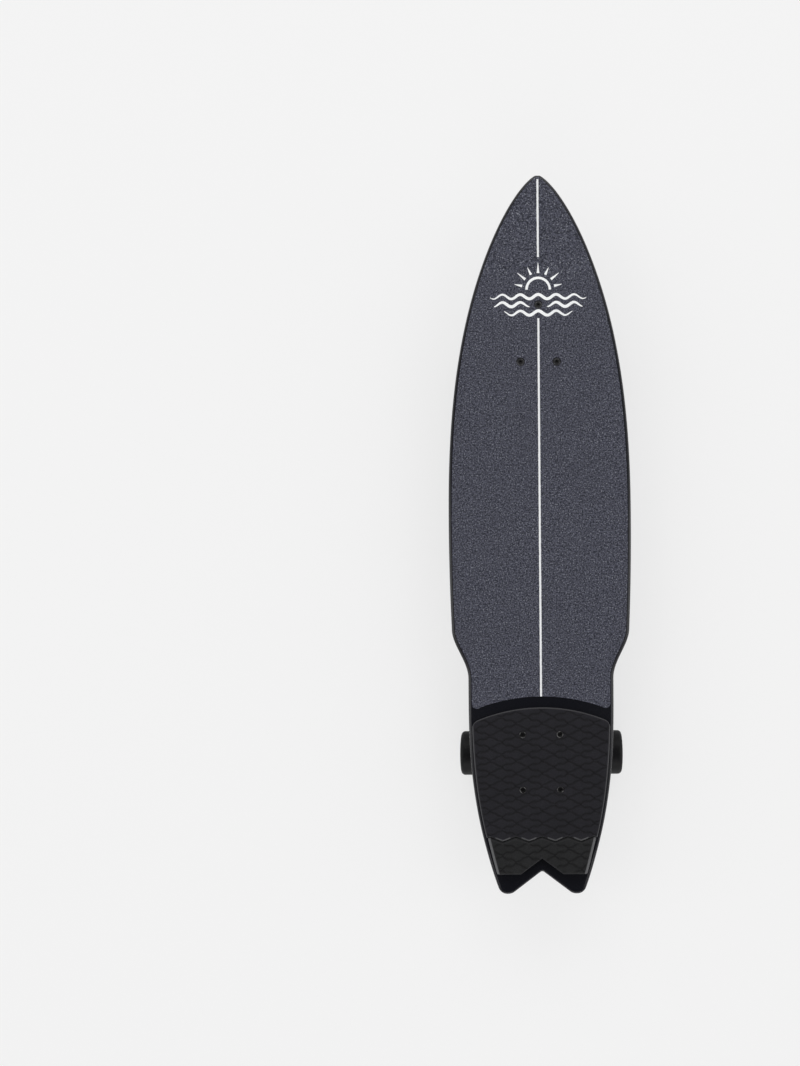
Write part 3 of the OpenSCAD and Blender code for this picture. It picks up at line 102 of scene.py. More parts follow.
def deck_half(y):
    """Half of the deck's width at y."""
    if y > WIDE_AHEAD:
        u = clamp((HALF_LEN + NOSE_BLUNT - y) / (HALF_LEN + NOSE_BLUNT - WIDE_AHEAD))
        return DECK_WID / 2 * (1 - (1 - u) ** NOSE_ALONG) ** NOSE_ACROSS
    side = DECK_WID / 2 - (WIDE_AHEAD - y) ** 2 / (2 * SIDE_R)
    if y > WING_FRONT:
        return side
    if y > WING_FRONT - WING_LEN:
        s = smooth((WING_FRONT - y) / WING_LEN)
        return side * (1 - s) + WAIST / 2 * s
    t = clamp((TAPER_Y - y) / (TAPER_Y + HALF_LEN))
    return WAIST / 2 - (WAIST - TAIL_WID) / 2 * t ** TAIL_POWER


def slope(y):
    return deck_half(y + 0.5) - deck_half(y - 0.5)


def inset_half(y, margin):
    """Half width of a line that keeps its margin from the deck's edge."""
    return deck_half(y) - margin * math.sqrt(1 + slope(y) ** 2)


def rise(y):
    """How far the nose rise or the kick lifts the deck at y."""
    up = max(0.0, y - (HALF_LEN - NOSE_RISE_LEN))
    if up > 0:
        r = (NOSE_RISE_LEN ** 2 + NOSE_RISE ** 2) / (2 * NOSE_RISE)
        return r - math.sqrt(r * r - up * up)
    back = max(0.0, KICK_Y - y)
    bend = KICK_BEND * math.sin(KICK_ANGLE)
    if back < bend:
        return KICK_BEND - math.sqrt(KICK_BEND ** 2 - back ** 2)
    return KICK_BEND * (1 - math.cos(KICK_ANGLE)) + (back - bend) * math.tan(KICK_ANGLE)


def well(x, y):
    """Depth of the wheel well cut into the underside."""
    d = abs(y - REAR_AXLE_Y)
    if d > WELL_REACH:
        return 0.0
    across = (abs(x) - (WAIST / 2 - WELL_WID)) * WELL_DEPTH / WELL_WID
    return max(0.0, across - (WELL_R - math.sqrt(WELL_R ** 2 - d * d)))


# Materials

FINE_BUMP = 0.0002


def new_material(name, base, rough, metallic=0.0, spec=0.5):
    m = bpy.data.materials.new(name)
    m.use_nodes = True
    b = m.node_tree.nodes["Principled BSDF"]
    b.inputs["Base Color"].default_value = (*base, 1)
    b.inputs["Roughness"].default_value = rough
    b.inputs["Metallic"].default_value = metallic
    b.inputs["Specular IOR Level"].default_value = spec
    return m, m.node_tree, b


def node(nt, kind, inputs=None, **props):
    n = nt.nodes.new(kind)
    for k, v in props.items():
        setattr(n, k, v)
    for k, v in (inputs or {}).items():
        sock = n.inputs[k]
        if isinstance(v, bpy.types.NodeSocket):
            nt.links.new(v, sock)
        else:
            sock.default_value = v
    return n


def math_node(nt, op, a, b=0.0):
    return node(nt, "ShaderNodeMath", {0: a, 1: b}, operation=op).outputs[0]


def object_place(nt):
    return node(nt, "ShaderNodeTexCoord").outputs["Object"]


def parts_of(nt, vec):
    return node(nt, "ShaderNodeSeparateXYZ", {0: vec}).outputs


def scaled(nt, vec, factors):
    n = node(nt, "ShaderNodeVectorMath", {0: vec, 1: factors}, operation="MULTIPLY")
    return n.outputs[0]


def noise_node(nt, vec, scale, detail=3.0, rough=0.55):
    n = node(nt, "ShaderNodeTexNoise", {"Vector": vec, "Scale": scale, "Detail": detail, "Roughness": rough})
    return n.outputs[0]


def ramp(nt, fac, low, high, to_low=0.0, to_high=1.0, interpolation="LINEAR"):
    sockets = {0: fac, 1: low, 2: high, 3: to_low, 4: to_high}
    n = node(nt, "ShaderNodeMapRange", sockets, interpolation_type=interpolation)
    n.clamp = True
    return n.outputs[0]


def mix_color(nt, fac, a, b):
    n = nt.nodes.new("ShaderNodeMix")
    n.data_type = "RGBA"
    for sock, v in ((n.inputs[0], fac), (n.inputs[6], a), (n.inputs[7], b)):
        if isinstance(v, bpy.types.NodeSocket):
            nt.links.new(v, sock)
        elif sock.type == "RGBA":
            sock.default_value = (*v, 1)
        else:
            sock.default_value = v
    return n.outputs[2]


def bump(nt, bsdf, height, strength, distance):
    n = node(nt, "ShaderNodeBump", {"Strength": strength, "Distance": distance, "Height": height})
    nt.links.new(n.outputs[0], bsdf.inputs["Normal"])


def times(c, factor):
    """A colour made darker or brighter."""
    return tuple(min(1.0, v * factor) for v in c)


SANDED_MARGIN = 2.0


def lacquer_material():
    """Black lacquer: near black on top, charcoal below, grey on the rails as a painted highlight streaked
    along the plies, sanded wood in the wheel wells.
    """
    top, under, rail_highlight = (0.0036, 0.0040, 0.0070), (0.020, 0.020, 0.021), (0.096, 0.096, 0.102)
    m, nt, b = new_material("deck_lacquer", top, 0.30, spec=0.3)
    vec = object_place(nt)
    x, y, z = parts_of(nt, vec)
    grain = noise_node(nt, scaled(nt, vec, (900, 14, 300)), 1.0, 4.0)
    flecks = noise_node(nt, vec, 700.0, 2.0)
    cloud = noise_node(nt, vec, 9.0, 4.0)
    plies = noise_node(nt, scaled(nt, vec, (3, 3, 620)), 1.0, 2.0)
    ax = math_node(nt, "ABSOLUTE", x)
    inner = WAIST / 2 - WELL_WID - SANDED_MARGIN
    across = math_node(nt, "MULTIPLY", math_node(nt, "SUBTRACT", ax, inner * MM), WELL_DEPTH / WELL_WID)
    dy = math_node(nt, "SUBTRACT", y, REAR_AXLE_Y * MM)
    arc = math_node(nt, "MULTIPLY", math_node(nt, "MULTIPLY", dy, dy), 1 / (2 * WELL_R * MM))
    depth = math_node(nt, "SUBTRACT", across, arc)
    geo = node(nt, "ShaderNodeNewGeometry")
    nz = parts_of(nt, geo.outputs["True Normal"])[2]
    facing = ramp(nt, nz, -0.35, -0.15, 1.0, 0.0)
    low = ramp(nt, z, (DECK_Z + DECK_THK / 2) * MM, (DECK_Z + DECK_THK / 2 + 1) * MM, 1.0, 0.0)
    edge = ramp(nt, depth, 0.0, 0.00025)
    mask = math_node(nt, "MULTIPLY", math_node(nt, "MULTIPLY", edge, facing), low)
    # Faces turned sideways, the rails, take the grey painted highlight in their base colour.
    side = ramp(nt, math_node(nt, "ABSOLUTE", nz), 0.25, 0.55, 1.0, 0.0)
    wood = mix_color(nt, ramp(nt, grain, 0.3, 0.7), (0.030, 0.029, 0.028), (0.150, 0.146, 0.140))
    black = mix_color(nt, facing, top, under)
    black = mix_color(nt, ramp(nt, flecks, 0.66, 0.75, 0.0, 0.35), black, (0.030, 0.030, 0.033))
    black = mix_color(nt, ramp(nt, cloud, 0.4, 0.7, 0.0, 0.25), black, (0.006, 0.006, 0.008))
    # Painted highlight on the rails, darker and lighter in streaks along the plies.
    wear_and_highlight = mix_color(nt, ramp(nt, plies, 0.42, 0.58), times(rail_highlight, 0.62), rail_highlight)
    black = mix_color(nt, side, black, wear_and_highlight)
    nt.links.new(mix_color(nt, mask, black, wood), b.inputs["Base Color"])
    nt.links.new(ramp(nt, mask, 0.0, 1.0, 0.27, 0.62), b.inputs["Roughness"])
    bump(nt, b, grain, 0.12, FINE_BUMP)
    b.inputs["Coat Weight"].default_value = 0.25
    b.inputs["Coat Roughness"].default_value = 0.14
    return m


STRIPE_HALF, STRIPE_TIP = 1.15, 450.5
STRIPE_GAP_REAR, STRIPE_GAP_FRONT = 279.2, 357.0


def grip_material():
    """Dark grit with a fine white stripe along the middle, broken where the painted motif stands."""
    m, nt, b = new_material("grip_grit", (0.055, 0.058, 0.078), 0.85, spec=0.3)
    vec = object_place(nt)
    x, y, _ = parts_of(nt, vec)
    fine = noise_node(nt, vec, 1150.0, 2.0, 0.7)
    coarse = noise_node(nt, vec, 500.0, 2.0, 0.6)
    grit = noise_node(nt, vec, 610.0, 2.0, 0.6)
    broad = noise_node(nt, vec, 14.0, 3.0)
    base = mix_color(nt, ramp(nt, coarse, 0.40, 0.60), (0.010, 0.011, 0.018), (0.086, 0.089, 0.120))
    base = mix_color(nt, ramp(nt, fine, 0.40, 0.60, 0.0, 0.32), base, (0.036, 0.037, 0.053))
    base = mix_color(nt, ramp(nt, grit, 0.59, 0.67), base, (0.25, 0.26, 0.30))
    base = mix_color(nt, ramp(nt, broad, 0.3, 0.7, 0.0, 0.16), base, (0.045, 0.046, 0.06))
    wobble = math_node(nt, "SUBTRACT", noise_node(nt, vec, 420.0, 2.0), 0.5)
    wobble = math_node(nt, "MULTIPLY", wobble, 0.9 * MM)
    ax = math_node(nt, "ADD", math_node(nt, "ABSOLUTE", x), wobble)
    line = ramp(nt, ax, STRIPE_HALF * MM, (STRIPE_HALF + 0.25) * MM, 1.0, 0.0)
    ahead = ramp(nt, y, STRIPE_GAP_FRONT * MM, (STRIPE_GAP_FRONT + 0.4) * MM)
    behind = ramp(nt, y, STRIPE_GAP_REAR * MM, (STRIPE_GAP_REAR + 0.4) * MM, 1.0, 0.0)
    place = math_node(nt, "MAXIMUM", ahead, behind)
    nose = ramp(nt, y, STRIPE_TIP * MM, (STRIPE_TIP + 1) * MM, 1.0, 0.0)
    line = math_node(nt, "MULTIPLY", math_node(nt, "MULTIPLY", line, place), nose)
    wear_and_highlight = ramp(nt, grit, 0.66, 0.78, 1.0, 0.55)
    line = math_node(nt, "MULTIPLY", line, wear_and_highlight)
    nt.links.new(mix_color(nt, line, base, (0.80, 0.81, 0.82)), b.inputs["Base Color"])
    bump(nt, b, fine, 0.55, 0.0004)
    return m


def foam_material(name, base, light):
    """Matte foam, with painted shade along its grooves and a painted highlight along its bevelled rims."""
    m, nt, b = new_material(name, base, 0.72, spec=0.22)
    vec = object_place(nt)
    pores = noise_node(nt, vec, 900.0, 2.0, 0.6)
    broad = noise_node(nt, vec, 26.0, 3.0)
    groove_shade = node(nt, "ShaderNodeAttribute", attribute_name="groove_shade").outputs["Fac"]
    rim = node(nt, "ShaderNodeAttribute", attribute_name="rim").outputs["Fac"]
    col = mix_color(nt, ramp(nt, pores, 0.35, 0.68), base, light)
    col = mix_color(nt, ramp(nt, broad, 0.35, 0.7, 0.0, 0.40), col, base)
    # Painted shade: the groove attribute darkens the colour in the grooves.
    col = mix_color(nt, math_node(nt, "MULTIPLY", groove_shade, 0.92), col, times(base, 0.12))
    # Painted highlight along the bevelled rims and the bolt holes' walls, broken up by the pores.
    lit = math_node(nt, "MULTIPLY", rim, ramp(nt, pores, 0.3, 0.6, 0.75, 1.0))
    col = mix_color(nt, lit, col, (0.15, 0.15, 0.155))
    nt.links.new(col, b.inputs["Base Color"])
    bump(nt, b, pores, 0.25, 0.0003)
    return m


def alloy_material(name, base, rough, brushed=False):
    """Cloudy cast metal, or metal brushed along x."""
    m, nt, b = new_material(name, base, rough, metallic=1.0)
    vec = object_place(nt)
    broad = noise_node(nt, vec, 42.0, 4.0)
    fine = noise_node(nt, vec, 780.0, 3.0, 0.6)
    streak = noise_node(nt, scaled(nt, vec, (70, 900, 900)), 1.0, 3.0)
    col = mix_color(nt, ramp(nt, broad, 0.3, 0.7), times(base, 0.72), times(base, 1.22))
    if brushed:
        col = mix_color(nt, ramp(nt, streak, 0.35, 0.65, 0.0, 0.5), col, times(base, 0.5))
    nt.links.new(col, b.inputs["Base Color"])
    nt.links.new(ramp(nt, broad, 0.3, 0.7, rough + 0.10, rough - 0.07), b.inputs["Roughness"])
    bump(nt, b, streak if brushed else fine, 0.35, 0.0003)
    return m


def plain_material(name, base, rough, metallic=0.0, spec=0.5, spread=0.25, scale=500.0, strength=0.2):
    """An even surface with a fine mottle of the given spread."""
    m, nt, b = new_material(name, base, rough, metallic, spec)
    fine = noise_node(nt, object_place(nt), scale)
    mottle = mix_color(nt, ramp(nt, fine, 0.3, 0.7), times(base, 1 - spread), times(base, 1 + spread))
    nt.links.new(mottle, b.inputs["Base Color"])
    bump(nt, b, fine, strength, FINE_BUMP)
    return m


# Inner and outer radii of the painted highlight ring on the bolt heads.
HIGHLIGHT_RING = (3.0, 4.4)


def bolt_material():
    """Black bolts with a painted highlight ring round the edges of their heads, brighter under the pad than
    in the grip.
    """
    black = (0.010, 0.010, 0.011)
    m, nt, b = new_material("black_bolt", black, 0.4, 0.3)
    vec = object_place(nt)
    flat = scaled(nt, vec, (1, 1, 0))
    near = 1.0
    for hx, hy in HOLES:
        centre = (hx * MM, hy * MM, 0)
        d = node(nt, "ShaderNodeVectorMath", {0: flat, 1: centre}, operation="DISTANCE")
        near = math_node(nt, "MINIMUM", d.outputs["Value"], near)
    inner = ramp(nt, near, HIGHLIGHT_RING[0] * MM, (HIGHLIGHT_RING[0] + 0.4) * MM)
    outer = ramp(nt, near, HIGHLIGHT_RING[1] * MM, (HIGHLIGHT_RING[1] + 0.5) * MM, 1.0, 0.3)
    # Painted highlight ring on the bolt heads, broken into fragments and brighter behind the middle, under
    # the pad.
    highlight_breaks = ramp(nt, noise_node(nt, vec, 240.0, 2.0), 0.46, 0.58, 0.15, 1.0)
    painted_highlight = math_node(nt, "MULTIPLY", math_node(nt, "MULTIPLY", inner, outer), highlight_breaks)
    ahead = ramp(nt, parts_of(nt, vec)[1], -0.01, 0.01)
    wear_and_highlight = mix_color(nt, ahead, (0.30, 0.30, 0.30), (0.060, 0.060, 0.064))
    nt.links.new(mix_color(nt, painted_highlight, black, wear_and_highlight), b.inputs["Base Color"])
    bump(nt, b, noise_node(nt, vec, 700.0, 2.0), 0.2, FINE_BUMP)
    return m


def paint_material(name):
    """White paint, a little uneven, with fine specks worn through."""
    m, nt, b = new_material(name, (0.84, 0.84, 0.84), 0.45, spec=0.3)
    vec = object_place(nt)
    broad = noise_node(nt, vec, 60.0, 4.0)
    speck = noise_node(nt, vec, 900.0, 2.0)
    col = mix_color(nt, ramp(nt, broad, 0.3, 0.7), (0.82, 0.83, 0.84), (0.90, 0.91, 0.91))
    col = mix_color(nt, ramp(nt, speck, 0.70, 0.80, 0.0, 0.4), col, (0.30, 0.30, 0.31))
    nt.links.new(col, b.inputs["Base Color"])
    bump(nt, b, speck, 0.15, FINE_BUMP)
    return m


LACQUER = lacquer_material()
GRIP = grip_material()
FOAM = foam_material("pad_foam", (0.0072, 0.0070, 0.0094), (0.0172, 0.0165, 0.0218))
KICK_FOAM = foam_material("kick_foam", (0.0076, 0.0078, 0.0084), (0.0178, 0.0180, 0.0190))
CAST = alloy_material("cast_alloy", (0.78, 0.785, 0.79), 0.44)
BRUSHED = alloy_material("brushed_alloy", (0.80, 0.805, 0.81), 0.40, brushed=True)
STEEL = plain_material("bright_steel", (0.74, 0.745, 0.75), 0.30, 1.0, spread=0.12)
RACE = plain_material("bearing_steel", (0.66, 0.67, 0.68), 0.18, 1.0, spread=0.08, strength=0.08)
SPRING = plain_material("spring_steel", (0.66, 0.665, 0.67), 0.30, 1.0, spread=0.15)
BLACK_STEEL = plain_material("black_steel", (0.012, 0.012, 0.013), 0.36, 0.4, spread=0.3)
RUBBER = plain_material("bushing_rubber", (0.016, 0.016, 0.017), 0.6, spread=0.3, scale=260.0)
RISER = plain_material("riser_plastic", (0.014, 0.014, 0.015), 0.55, spread=0.3)
CUP = plain_material("cup_plastic", (0.014, 0.014, 0.015), 0.5, spread=0.25)
WASHER = plain_material("washer_plastic", (0.62, 0.62, 0.58), 0.45, spread=0.06)
URETHANE = plain_material("wheel_urethane", (0.0070, 0.0070, 0.0080), 0.46, spec=0.16, spread=0.22,
                          scale=180.0, strength=0.12)
CORE = plain_material("core_plastic", (0.014, 0.014, 0.015), 0.34, spec=0.4, spread=0.2)
PAINT = paint_material("white_paint")
DECK_BOLT = bolt_material()

SLOT_MATERIAL = {
    "deck_lacquer": LACQUER, "grip": GRIP, "foam": FOAM, "riser": RISER, "black_steel": BLACK_STEEL,
    "cast_alloy": CAST, "bright_steel": STEEL, "bearing_steel": RACE, "spring_steel": SPRING,
    "bushing_rubber": RUBBER, "cup_plastic": CUP, "washer_plastic": WASHER, "wheel_urethane": URETHANE,
    "core_plastic": CORE,
}
SLOT_OF = {s["node"]: s["material_slot"] for s in frame["record"]["subparts"]}
BODY_OF = {n: b for b, names in frame["record"]["behaviour"]["bodies"].items() for n in names}


for name, obj in NODES.items():
    mat = DECK_BOLT if name.endswith("deck_bolts") else SLOT_MATERIAL[SLOT_OF[name]]
    if obj.material_slots:
        for s in obj.material_slots:
            s.material = mat
    else:
        obj.data.materials.append(mat)


# Mesh helpers

WELD = 1e-6


def mesh_of(name, verts, faces):
    """A mesh from points in millimetres."""
    mesh = bpy.data.meshes.new(name)
    mesh.from_pydata([tuple(c * MM for c in v) for v in verts], [], faces)
    return mesh


def new_object(name, mesh, mat):
    obj = bpy.data.objects.new(name, mesh)
    scene.collection.objects.link(obj)
    mesh.materials.append(mat)
    return obj


def mesh_object(name, verts, faces, mat, body, sharp_angle):
    obj = new_object(name, mesh_of(name, verts, faces), mat)
    tidy_normals(obj.data, sharp_angle)
    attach(obj, body)


def tidy_normals(mesh, sharp_angle):
    """Welds the mesh, turns its faces outward and keeps edges over the angle sharp."""
    bm = bmesh.new()
    bm.from_mesh(mesh)
    bmesh.ops.remove_doubles(bm, verts=bm.verts, dist=WELD)
    bmesh.ops.recalc_face_normals(bm, faces=bm.faces)
    for f in bm.faces:
        f.smooth = True
    limit = math.radians(sharp_angle)
    for e in bm.edges:
        e.smooth = len(e.link_faces) != 2 or e.calc_face_angle(0) < limit
    bm.to_mesh(mesh)
    bm.free()
    mesh.update()


# Deck

CORNER_STEPS = 8
KICK_STEPS, NOSE_STEPS = 6, 14
TIP_STATIONS, SIDE_STATIONS, WING_STATIONS, TAPER_STATIONS = 60, 12, 24, 30
TAIL_TIP_LEN = 14.0
RAIL_LOW_R, RAIL_TOP_R, RAIL_STEPS = 4.5, 4.0, 5
SINK_R, SINK_DEPTH, BOLT_HOLE_R = 5.05, 2.7, 2.65
CUT_DIST = 0.001


def corner(a, b, c, r):
    """Points and outward normals of a corner at b, rounded to radius r, on a path round the board."""
    a, b, c = Vector(a), Vector(b), Vector(c)
    u, v = (a - b).normalized(), (c - b).normalized()
    half = math.acos(clamp(u.dot(v), -1, 1)) / 2
    m = b + (u + v).normalized() * r / math.sin(half)
    p, q = b + u * r / math.tan(half) - m, b + v * r / math.tan(half) - m
    start = math.atan2(p.y, p.x)
    turn = (math.atan2(q.y, q.x) - start + 3 * math.pi) % (2 * math.pi) - math.pi
    convex = turn < 0
    out = []
    for i in range(CORNER_STEPS + 1):
        angle = start + turn * i / CORNER_STEPS
        d = Vector((math.cos(angle), math.sin(angle)))
        out.append((m + d * r, d if convex else -d))
    return out


def rise_breaks():
    """Lines across the deck between which its kick and nose rise are straight enough."""
    bend = KICK_BEND * math.sin(KICK_ANGLE)
    ys = [KICK_Y - bend * i / KICK_STEPS for i in range(KICK_STEPS + 1)]
    ys += [HALF_LEN - NOSE_RISE_LEN + NOSE_RISE_LEN * i / NOSE_STEPS for i in range(NOSE_STEPS)]
    return ys


def deck_rim():
    """Half of the outline, nose to notch, as points with outward normals."""
    last = TAIL_TIP_LEN - HALF_LEN
    ys = [HALF_LEN - (HALF_LEN - WIDE_AHEAD) * (i / TIP_STATIONS) ** 2 for i in range(TIP_STATIONS + 1)]
    stretches = (
        (WIDE_AHEAD, WING_FRONT, SIDE_STATIONS),
        (WING_FRONT, WING_FRONT - WING_LEN, WING_STATIONS),
        (TAPER_Y, last, TAPER_STATIONS),
    )
    for y0, y1, n in stretches:
        ys += [y0 + (y1 - y0) * i / n for i in range(n + 1)]
    ys += [y for y in rise_breaks() if last < y < HALF_LEN]
    ys = sorted(set(round(y, 4) for y in ys), reverse=True)
    rim = [(Vector((0, HALF_LEN)), Vector((0, 1)))]
    for y in ys:
        s = slope(min(y, HALF_LEN - 1.0))
        rim.append((Vector((deck_half(y), y)), Vector((1, -s)).normalized()))
    tip, mouth, point = (TAIL_WID / 2, -HALF_LEN), (NOTCH_HALF, -HALF_LEN), (0, NOTCH_DEPTH - HALF_LEN)
    rim += corner((deck_half(last), last), tip, mouth, TAIL_CORNER_R)
    rim += corner(tip, mouth, point, LOBE_R)
    rim += corner(mouth, point, (-NOTCH_HALF, -HALF_LEN), NOTCH_R)[:CORNER_STEPS // 2 + 1]
    return rim


def deck_ring(rim, d):
    """The whole outline, both halves, drawn in by d."""
    pts = []
    for p, n in rim:
        q = p - n * d
        q.x = max(0.0, q.x)
        q.y = min(q.y, HALF_LEN - d)
        pts.append(q)
    pts[0].x = 0.0
    pts[-1].x = 0.0
    return pts + [Vector((-q.x, q.y)) for q in reversed(pts[1:-1])]


def flat_sheet(bm, ring, holes, z_at, ys, xs=()):
    """Fills the ring, with holes, cut along the given lines, and lifts it to z_at(x, y)."""
    loops = [ring] + holes
    tris = tessellate_polygon([[Vector((p[0], p[1], 0)) for p in loop] for loop in loops])
    pts = [p for loop in loops for p in loop]
    part = bmesh.new()
    vs = [part.verts.new((p[0], p[1], 0)) for p in pts]
    for t in tris:
        part.faces.new([vs[i] for i in t])
    for y in ys:
        geom = part.verts[:] + part.edges[:] + part.faces[:]
        bmesh.ops.bisect_plane(part, geom=geom, plane_co=(0, y, 0), plane_no=(0, 1, 0), dist=CUT_DIST)
    for x in xs:
        near = [f for f in part.faces if abs(f.calc_center_median().y - REAR_AXLE_Y) < WELL_REACH + 15]
        geom = list({v for f in near for v in f.verts}) + list({e for f in near for e in f.edges}) + near
        bmesh.ops.bisect_plane(part, geom=geom, plane_co=(x, 0, 0), plane_no=(1, 0, 0), dist=CUT_DIST)
    index = {}
    for v in part.verts:
        index[v] = bm.verts.new((v.co.x, v.co.y, z_at(v.co.x, v.co.y)))
    for f in part.faces:
        bm.faces.new([index[v] for v in f.verts])
    part.free()


def circle(cx, cy, r, n=32):
    angles = [2 * math.pi * i / n for i in range(n)]
    return [Vector((cx + r * math.cos(a), cy + r * math.sin(a))) for a in angles]


def bridge(bm, a, b):
    """Faces between two closed loops of vertices, leaving out those that have no area."""
    for i in range(len(a)):
        j = (i + 1) % len(a)
        quad = [a[i], a[j], b[j], b[i]]
        if len({tuple(round(c, 5) for c in v.co) for v in quad}) > 2:
            bm.faces.new(quad)


def build_deck():
    """The deck with rounded rails, wheel wells and countersunk bolt holes."""
    rim = deck_rim()
    arc = [math.pi / 2 * i / RAIL_STEPS for i in range(RAIL_STEPS + 1)]
    profile = [(RAIL_LOW_R * (1 - math.sin(a)), RAIL_LOW_R * (1 - math.cos(a))) for a in arc]
    profile += [(RAIL_TOP_R * (1 - math.cos(a)), DECK_THK - RAIL_TOP_R * (1 - math.sin(a))) for a in arc]
    bm = bmesh.new()
    rings = []
    for d, h in profile:
        ring = []
        for q in deck_ring(rim, d):
            w = well(q.x, q.y)
            ring.append(bm.verts.new((q.x, q.y, DECK_Z + rise(q.y) + w + h * (DECK_THK - w) / DECK_THK)))
        rings.append(ring)
    for a, b in zip(rings, rings[1:]):
        bridge(bm, a, b)
    breaks = rise_breaks()
    top_holes = [circle(x, y, SINK_R) for x, y in HOLES]
    low_holes = [circle(x, y, BOLT_HOLE_R) for x, y in HOLES]
    flat_sheet(bm, deck_ring(rim, profile[-1][0]), top_holes, lambda x, y: DECK_TOP + rise(y), breaks)
    well_ys = [REAR_AXLE_Y + WELL_REACH * i / 10 for i in range(-10, 11)]
    well_xs = [s * (WAIST / 2 - WELL_WID + 3 * i) for s in (-1, 1) for i in range(9)]
    flat_sheet(bm, deck_ring(rim, profile[0][0]), low_holes, lambda x, y: DECK_Z + rise(y) + well(x, y),
               breaks + well_ys, well_xs)
    for x, y in HOLES:
        stack = [(BOLT_HOLE_R, DECK_Z), (BOLT_HOLE_R, DECK_TOP - SINK_DEPTH), (SINK_R, DECK_TOP)]
        loops = [[bm.verts.new((p.x, p.y, z)) for p in circle(x, y, r)] for r, z in stack]
        for a, b in zip(loops, loops[1:]):
            bridge(bm, a, b)
    bmesh.ops.remove_doubles(bm, verts=bm.verts, dist=2 * CUT_DIST)
    mesh = bpy.data.meshes.new("deck_shell")
    bm.to_mesh(mesh)
    bm.free()
    for v in mesh.vertices:
        v.co *= MM
    obj = new_object("deck_shell", mesh, LACQUER)
    tidy_normals(mesh, 30)
    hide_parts("deck")
    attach(obj, "board")


build_deck()


# Traction pad

CELL_X, CELL_Y = TOOTH_PITCH / 2, 8.0
LATTICE_Y = KICK_PAD_Y - TOOTH + CELL_Y
BUMP_H, PATTERN_LIFT = 1.3, 0.2
RIPPLE = 1.1
GROOVE_FLOOR, DOME_SHARE, DOME_POWER, TIP_DEPTH = 0.04, 0.6, 2.2, 0.35
# Reach of the painted shade in the grooves.
DARK_SHARE, DARK_FROM = 0.36, 0.12
PAD_CORNER_X, PAD_CORNER_ALONG, PAD_CORNER_BACK = 82.0, 7.0, 8.5
# The last number is the painted highlight on the bolt holes' walls.
HOLE_R, HOLE_FLOOR, HOLE_HIGHLIGHT = 4.3, 0.05, 0.25
PIECE_GAP = 0.3
PAD_SLOPE, KICK_SLOPE, SLOPE_DROP = 1.5, 3.8, 0.85
PAD_BEVEL, KICK_BEVEL = 1.6, 2.2
PATTERN_FADE = 3.0
# Painted highlight about the zigzag's points.
TOOTH_SHINE, SHINE_DEEP, SHINE_FADE = 8.5, 1.9, 1.2
SEAT_LIFT, LEAST_FOAM = 0.02, 0.3
FIRST_HALF = 60.0


def diamond(x, y):
    """Height over the grooves of the diamond lattice, 0 to 1, and nearness to a diamond's middle column."""
    best, near = -1.0, 0.0
    bend = RIPPLE * math.sin(2 * math.pi * x / CELL_X) * math.sin(math.pi * (y - LATTICE_Y) / CELL_Y)
    for ox, oy in ((CELL_X, 0.0), (0.0, CELL_Y)):
        dx = (x - ox + CELL_X) % (2 * CELL_X) - CELL_X
        dy = (y + bend - LATTICE_Y - oy + CELL_Y) % (2 * CELL_Y) - CELL_Y
        s = 1 - abs(dx) / CELL_X - abs(dy) / CELL_Y
        if s > best:
            best, near = s, 1 - abs(dx) / CELL_X
    return max(0.0, best), near


def bump_height(x, y):
    """Height of a diamond's dome, deepest beside its middle column."""
    s, near = diamond(x, y)
    t = clamp((s - GROOVE_FLOOR) / DOME_SHARE)
    return BUMP_H * (1 - (1 - t) ** DOME_POWER * (TIP_DEPTH + (1 - TIP_DEPTH) * smooth(near * 1.6)))


def groove_shade_at(x, y):
    """Painted shade: 1 in the grooves above and below a diamond's middle, fading towards its side tips."""
    s, near = diamond(x, y)
    return (1 - clamp(s / DARK_SHARE)) * smooth((near - DARK_FROM) * 1.7)


def zigzag(x):
    """The toothed line between the pad's two pieces."""
    t = abs((x / TOOTH_PITCH) % 1.0 - 0.5) * 2
    return KICK_PAD_Y - TOOTH * (1 - t)


def pad_front(x):
    """The pad's arched front edge with its rounded corners."""
    y = PAD_CENTRE + math.sqrt(max(0.0, PAD_R ** 2 - x * x))
    over = clamp((abs(x) - PAD_CORNER_X) / PAD_CORNER_ALONG)
    return y - PAD_CORNER_BACK * (1 - math.sqrt(1 - over ** 2))


def shine(x):
    """Painted highlight: 1 about the points of the zigzag that face the tail, 0 away from them."""
    off = abs((x / TOOTH_PITCH) % 1.0 - 0.5) * TOOTH_PITCH
    return 1 - smooth((off - TOOTH_SHINE) / 2.0)


def in_hole(x, y, r):
    return any((x - hx) ** 2 + (y - REAR_Y - hy) ** 2 < r * r for hx, hy in REAR_HOLES)


def to_hole(x, y, r):
    """The nearest point of the bolt hole's wall, for a point inside that hole."""
    for hx, hy in REAR_HOLES:
        dx, dy = x - hx, y - REAR_Y - hy
        d = math.hypot(dx, dy)
        if 0 < d < r:
            return hx + dx * r / d, REAR_Y + hy + dy * r / d
    return x, y


def closed_sheet(top_pts, nx, ny):
    """Faces of a sheet's top, base and walls, with its bolt holes left open; base points follow the top's."""
    n = len(top_pts)
    hole = HOLE_R + 0.01
    faces, sides = [], {}
    for j in range(ny):
        for i in range(nx):
            k = j * (nx + 1) + i
            quad = (k, k + 1, k + nx + 2, k + nx + 1)
            middle = [sum(top_pts[q][c] for q in quad) / 4 for c in (0, 1)]
            if in_hole(*middle, hole) and all(in_hole(*top_pts[q][:2], hole) for q in quad):
                continue
            faces.append(quad)
            faces.append(tuple(q + n for q in reversed(quad)))
            for a, b in zip(quad, quad[1:] + quad[:1]):
                if (b, a) in sides:
                    del sides[b, a]
                else:
                    sides[a, b] = True
    return faces + [(b, a, a + n, b + n) for a, b in sides]


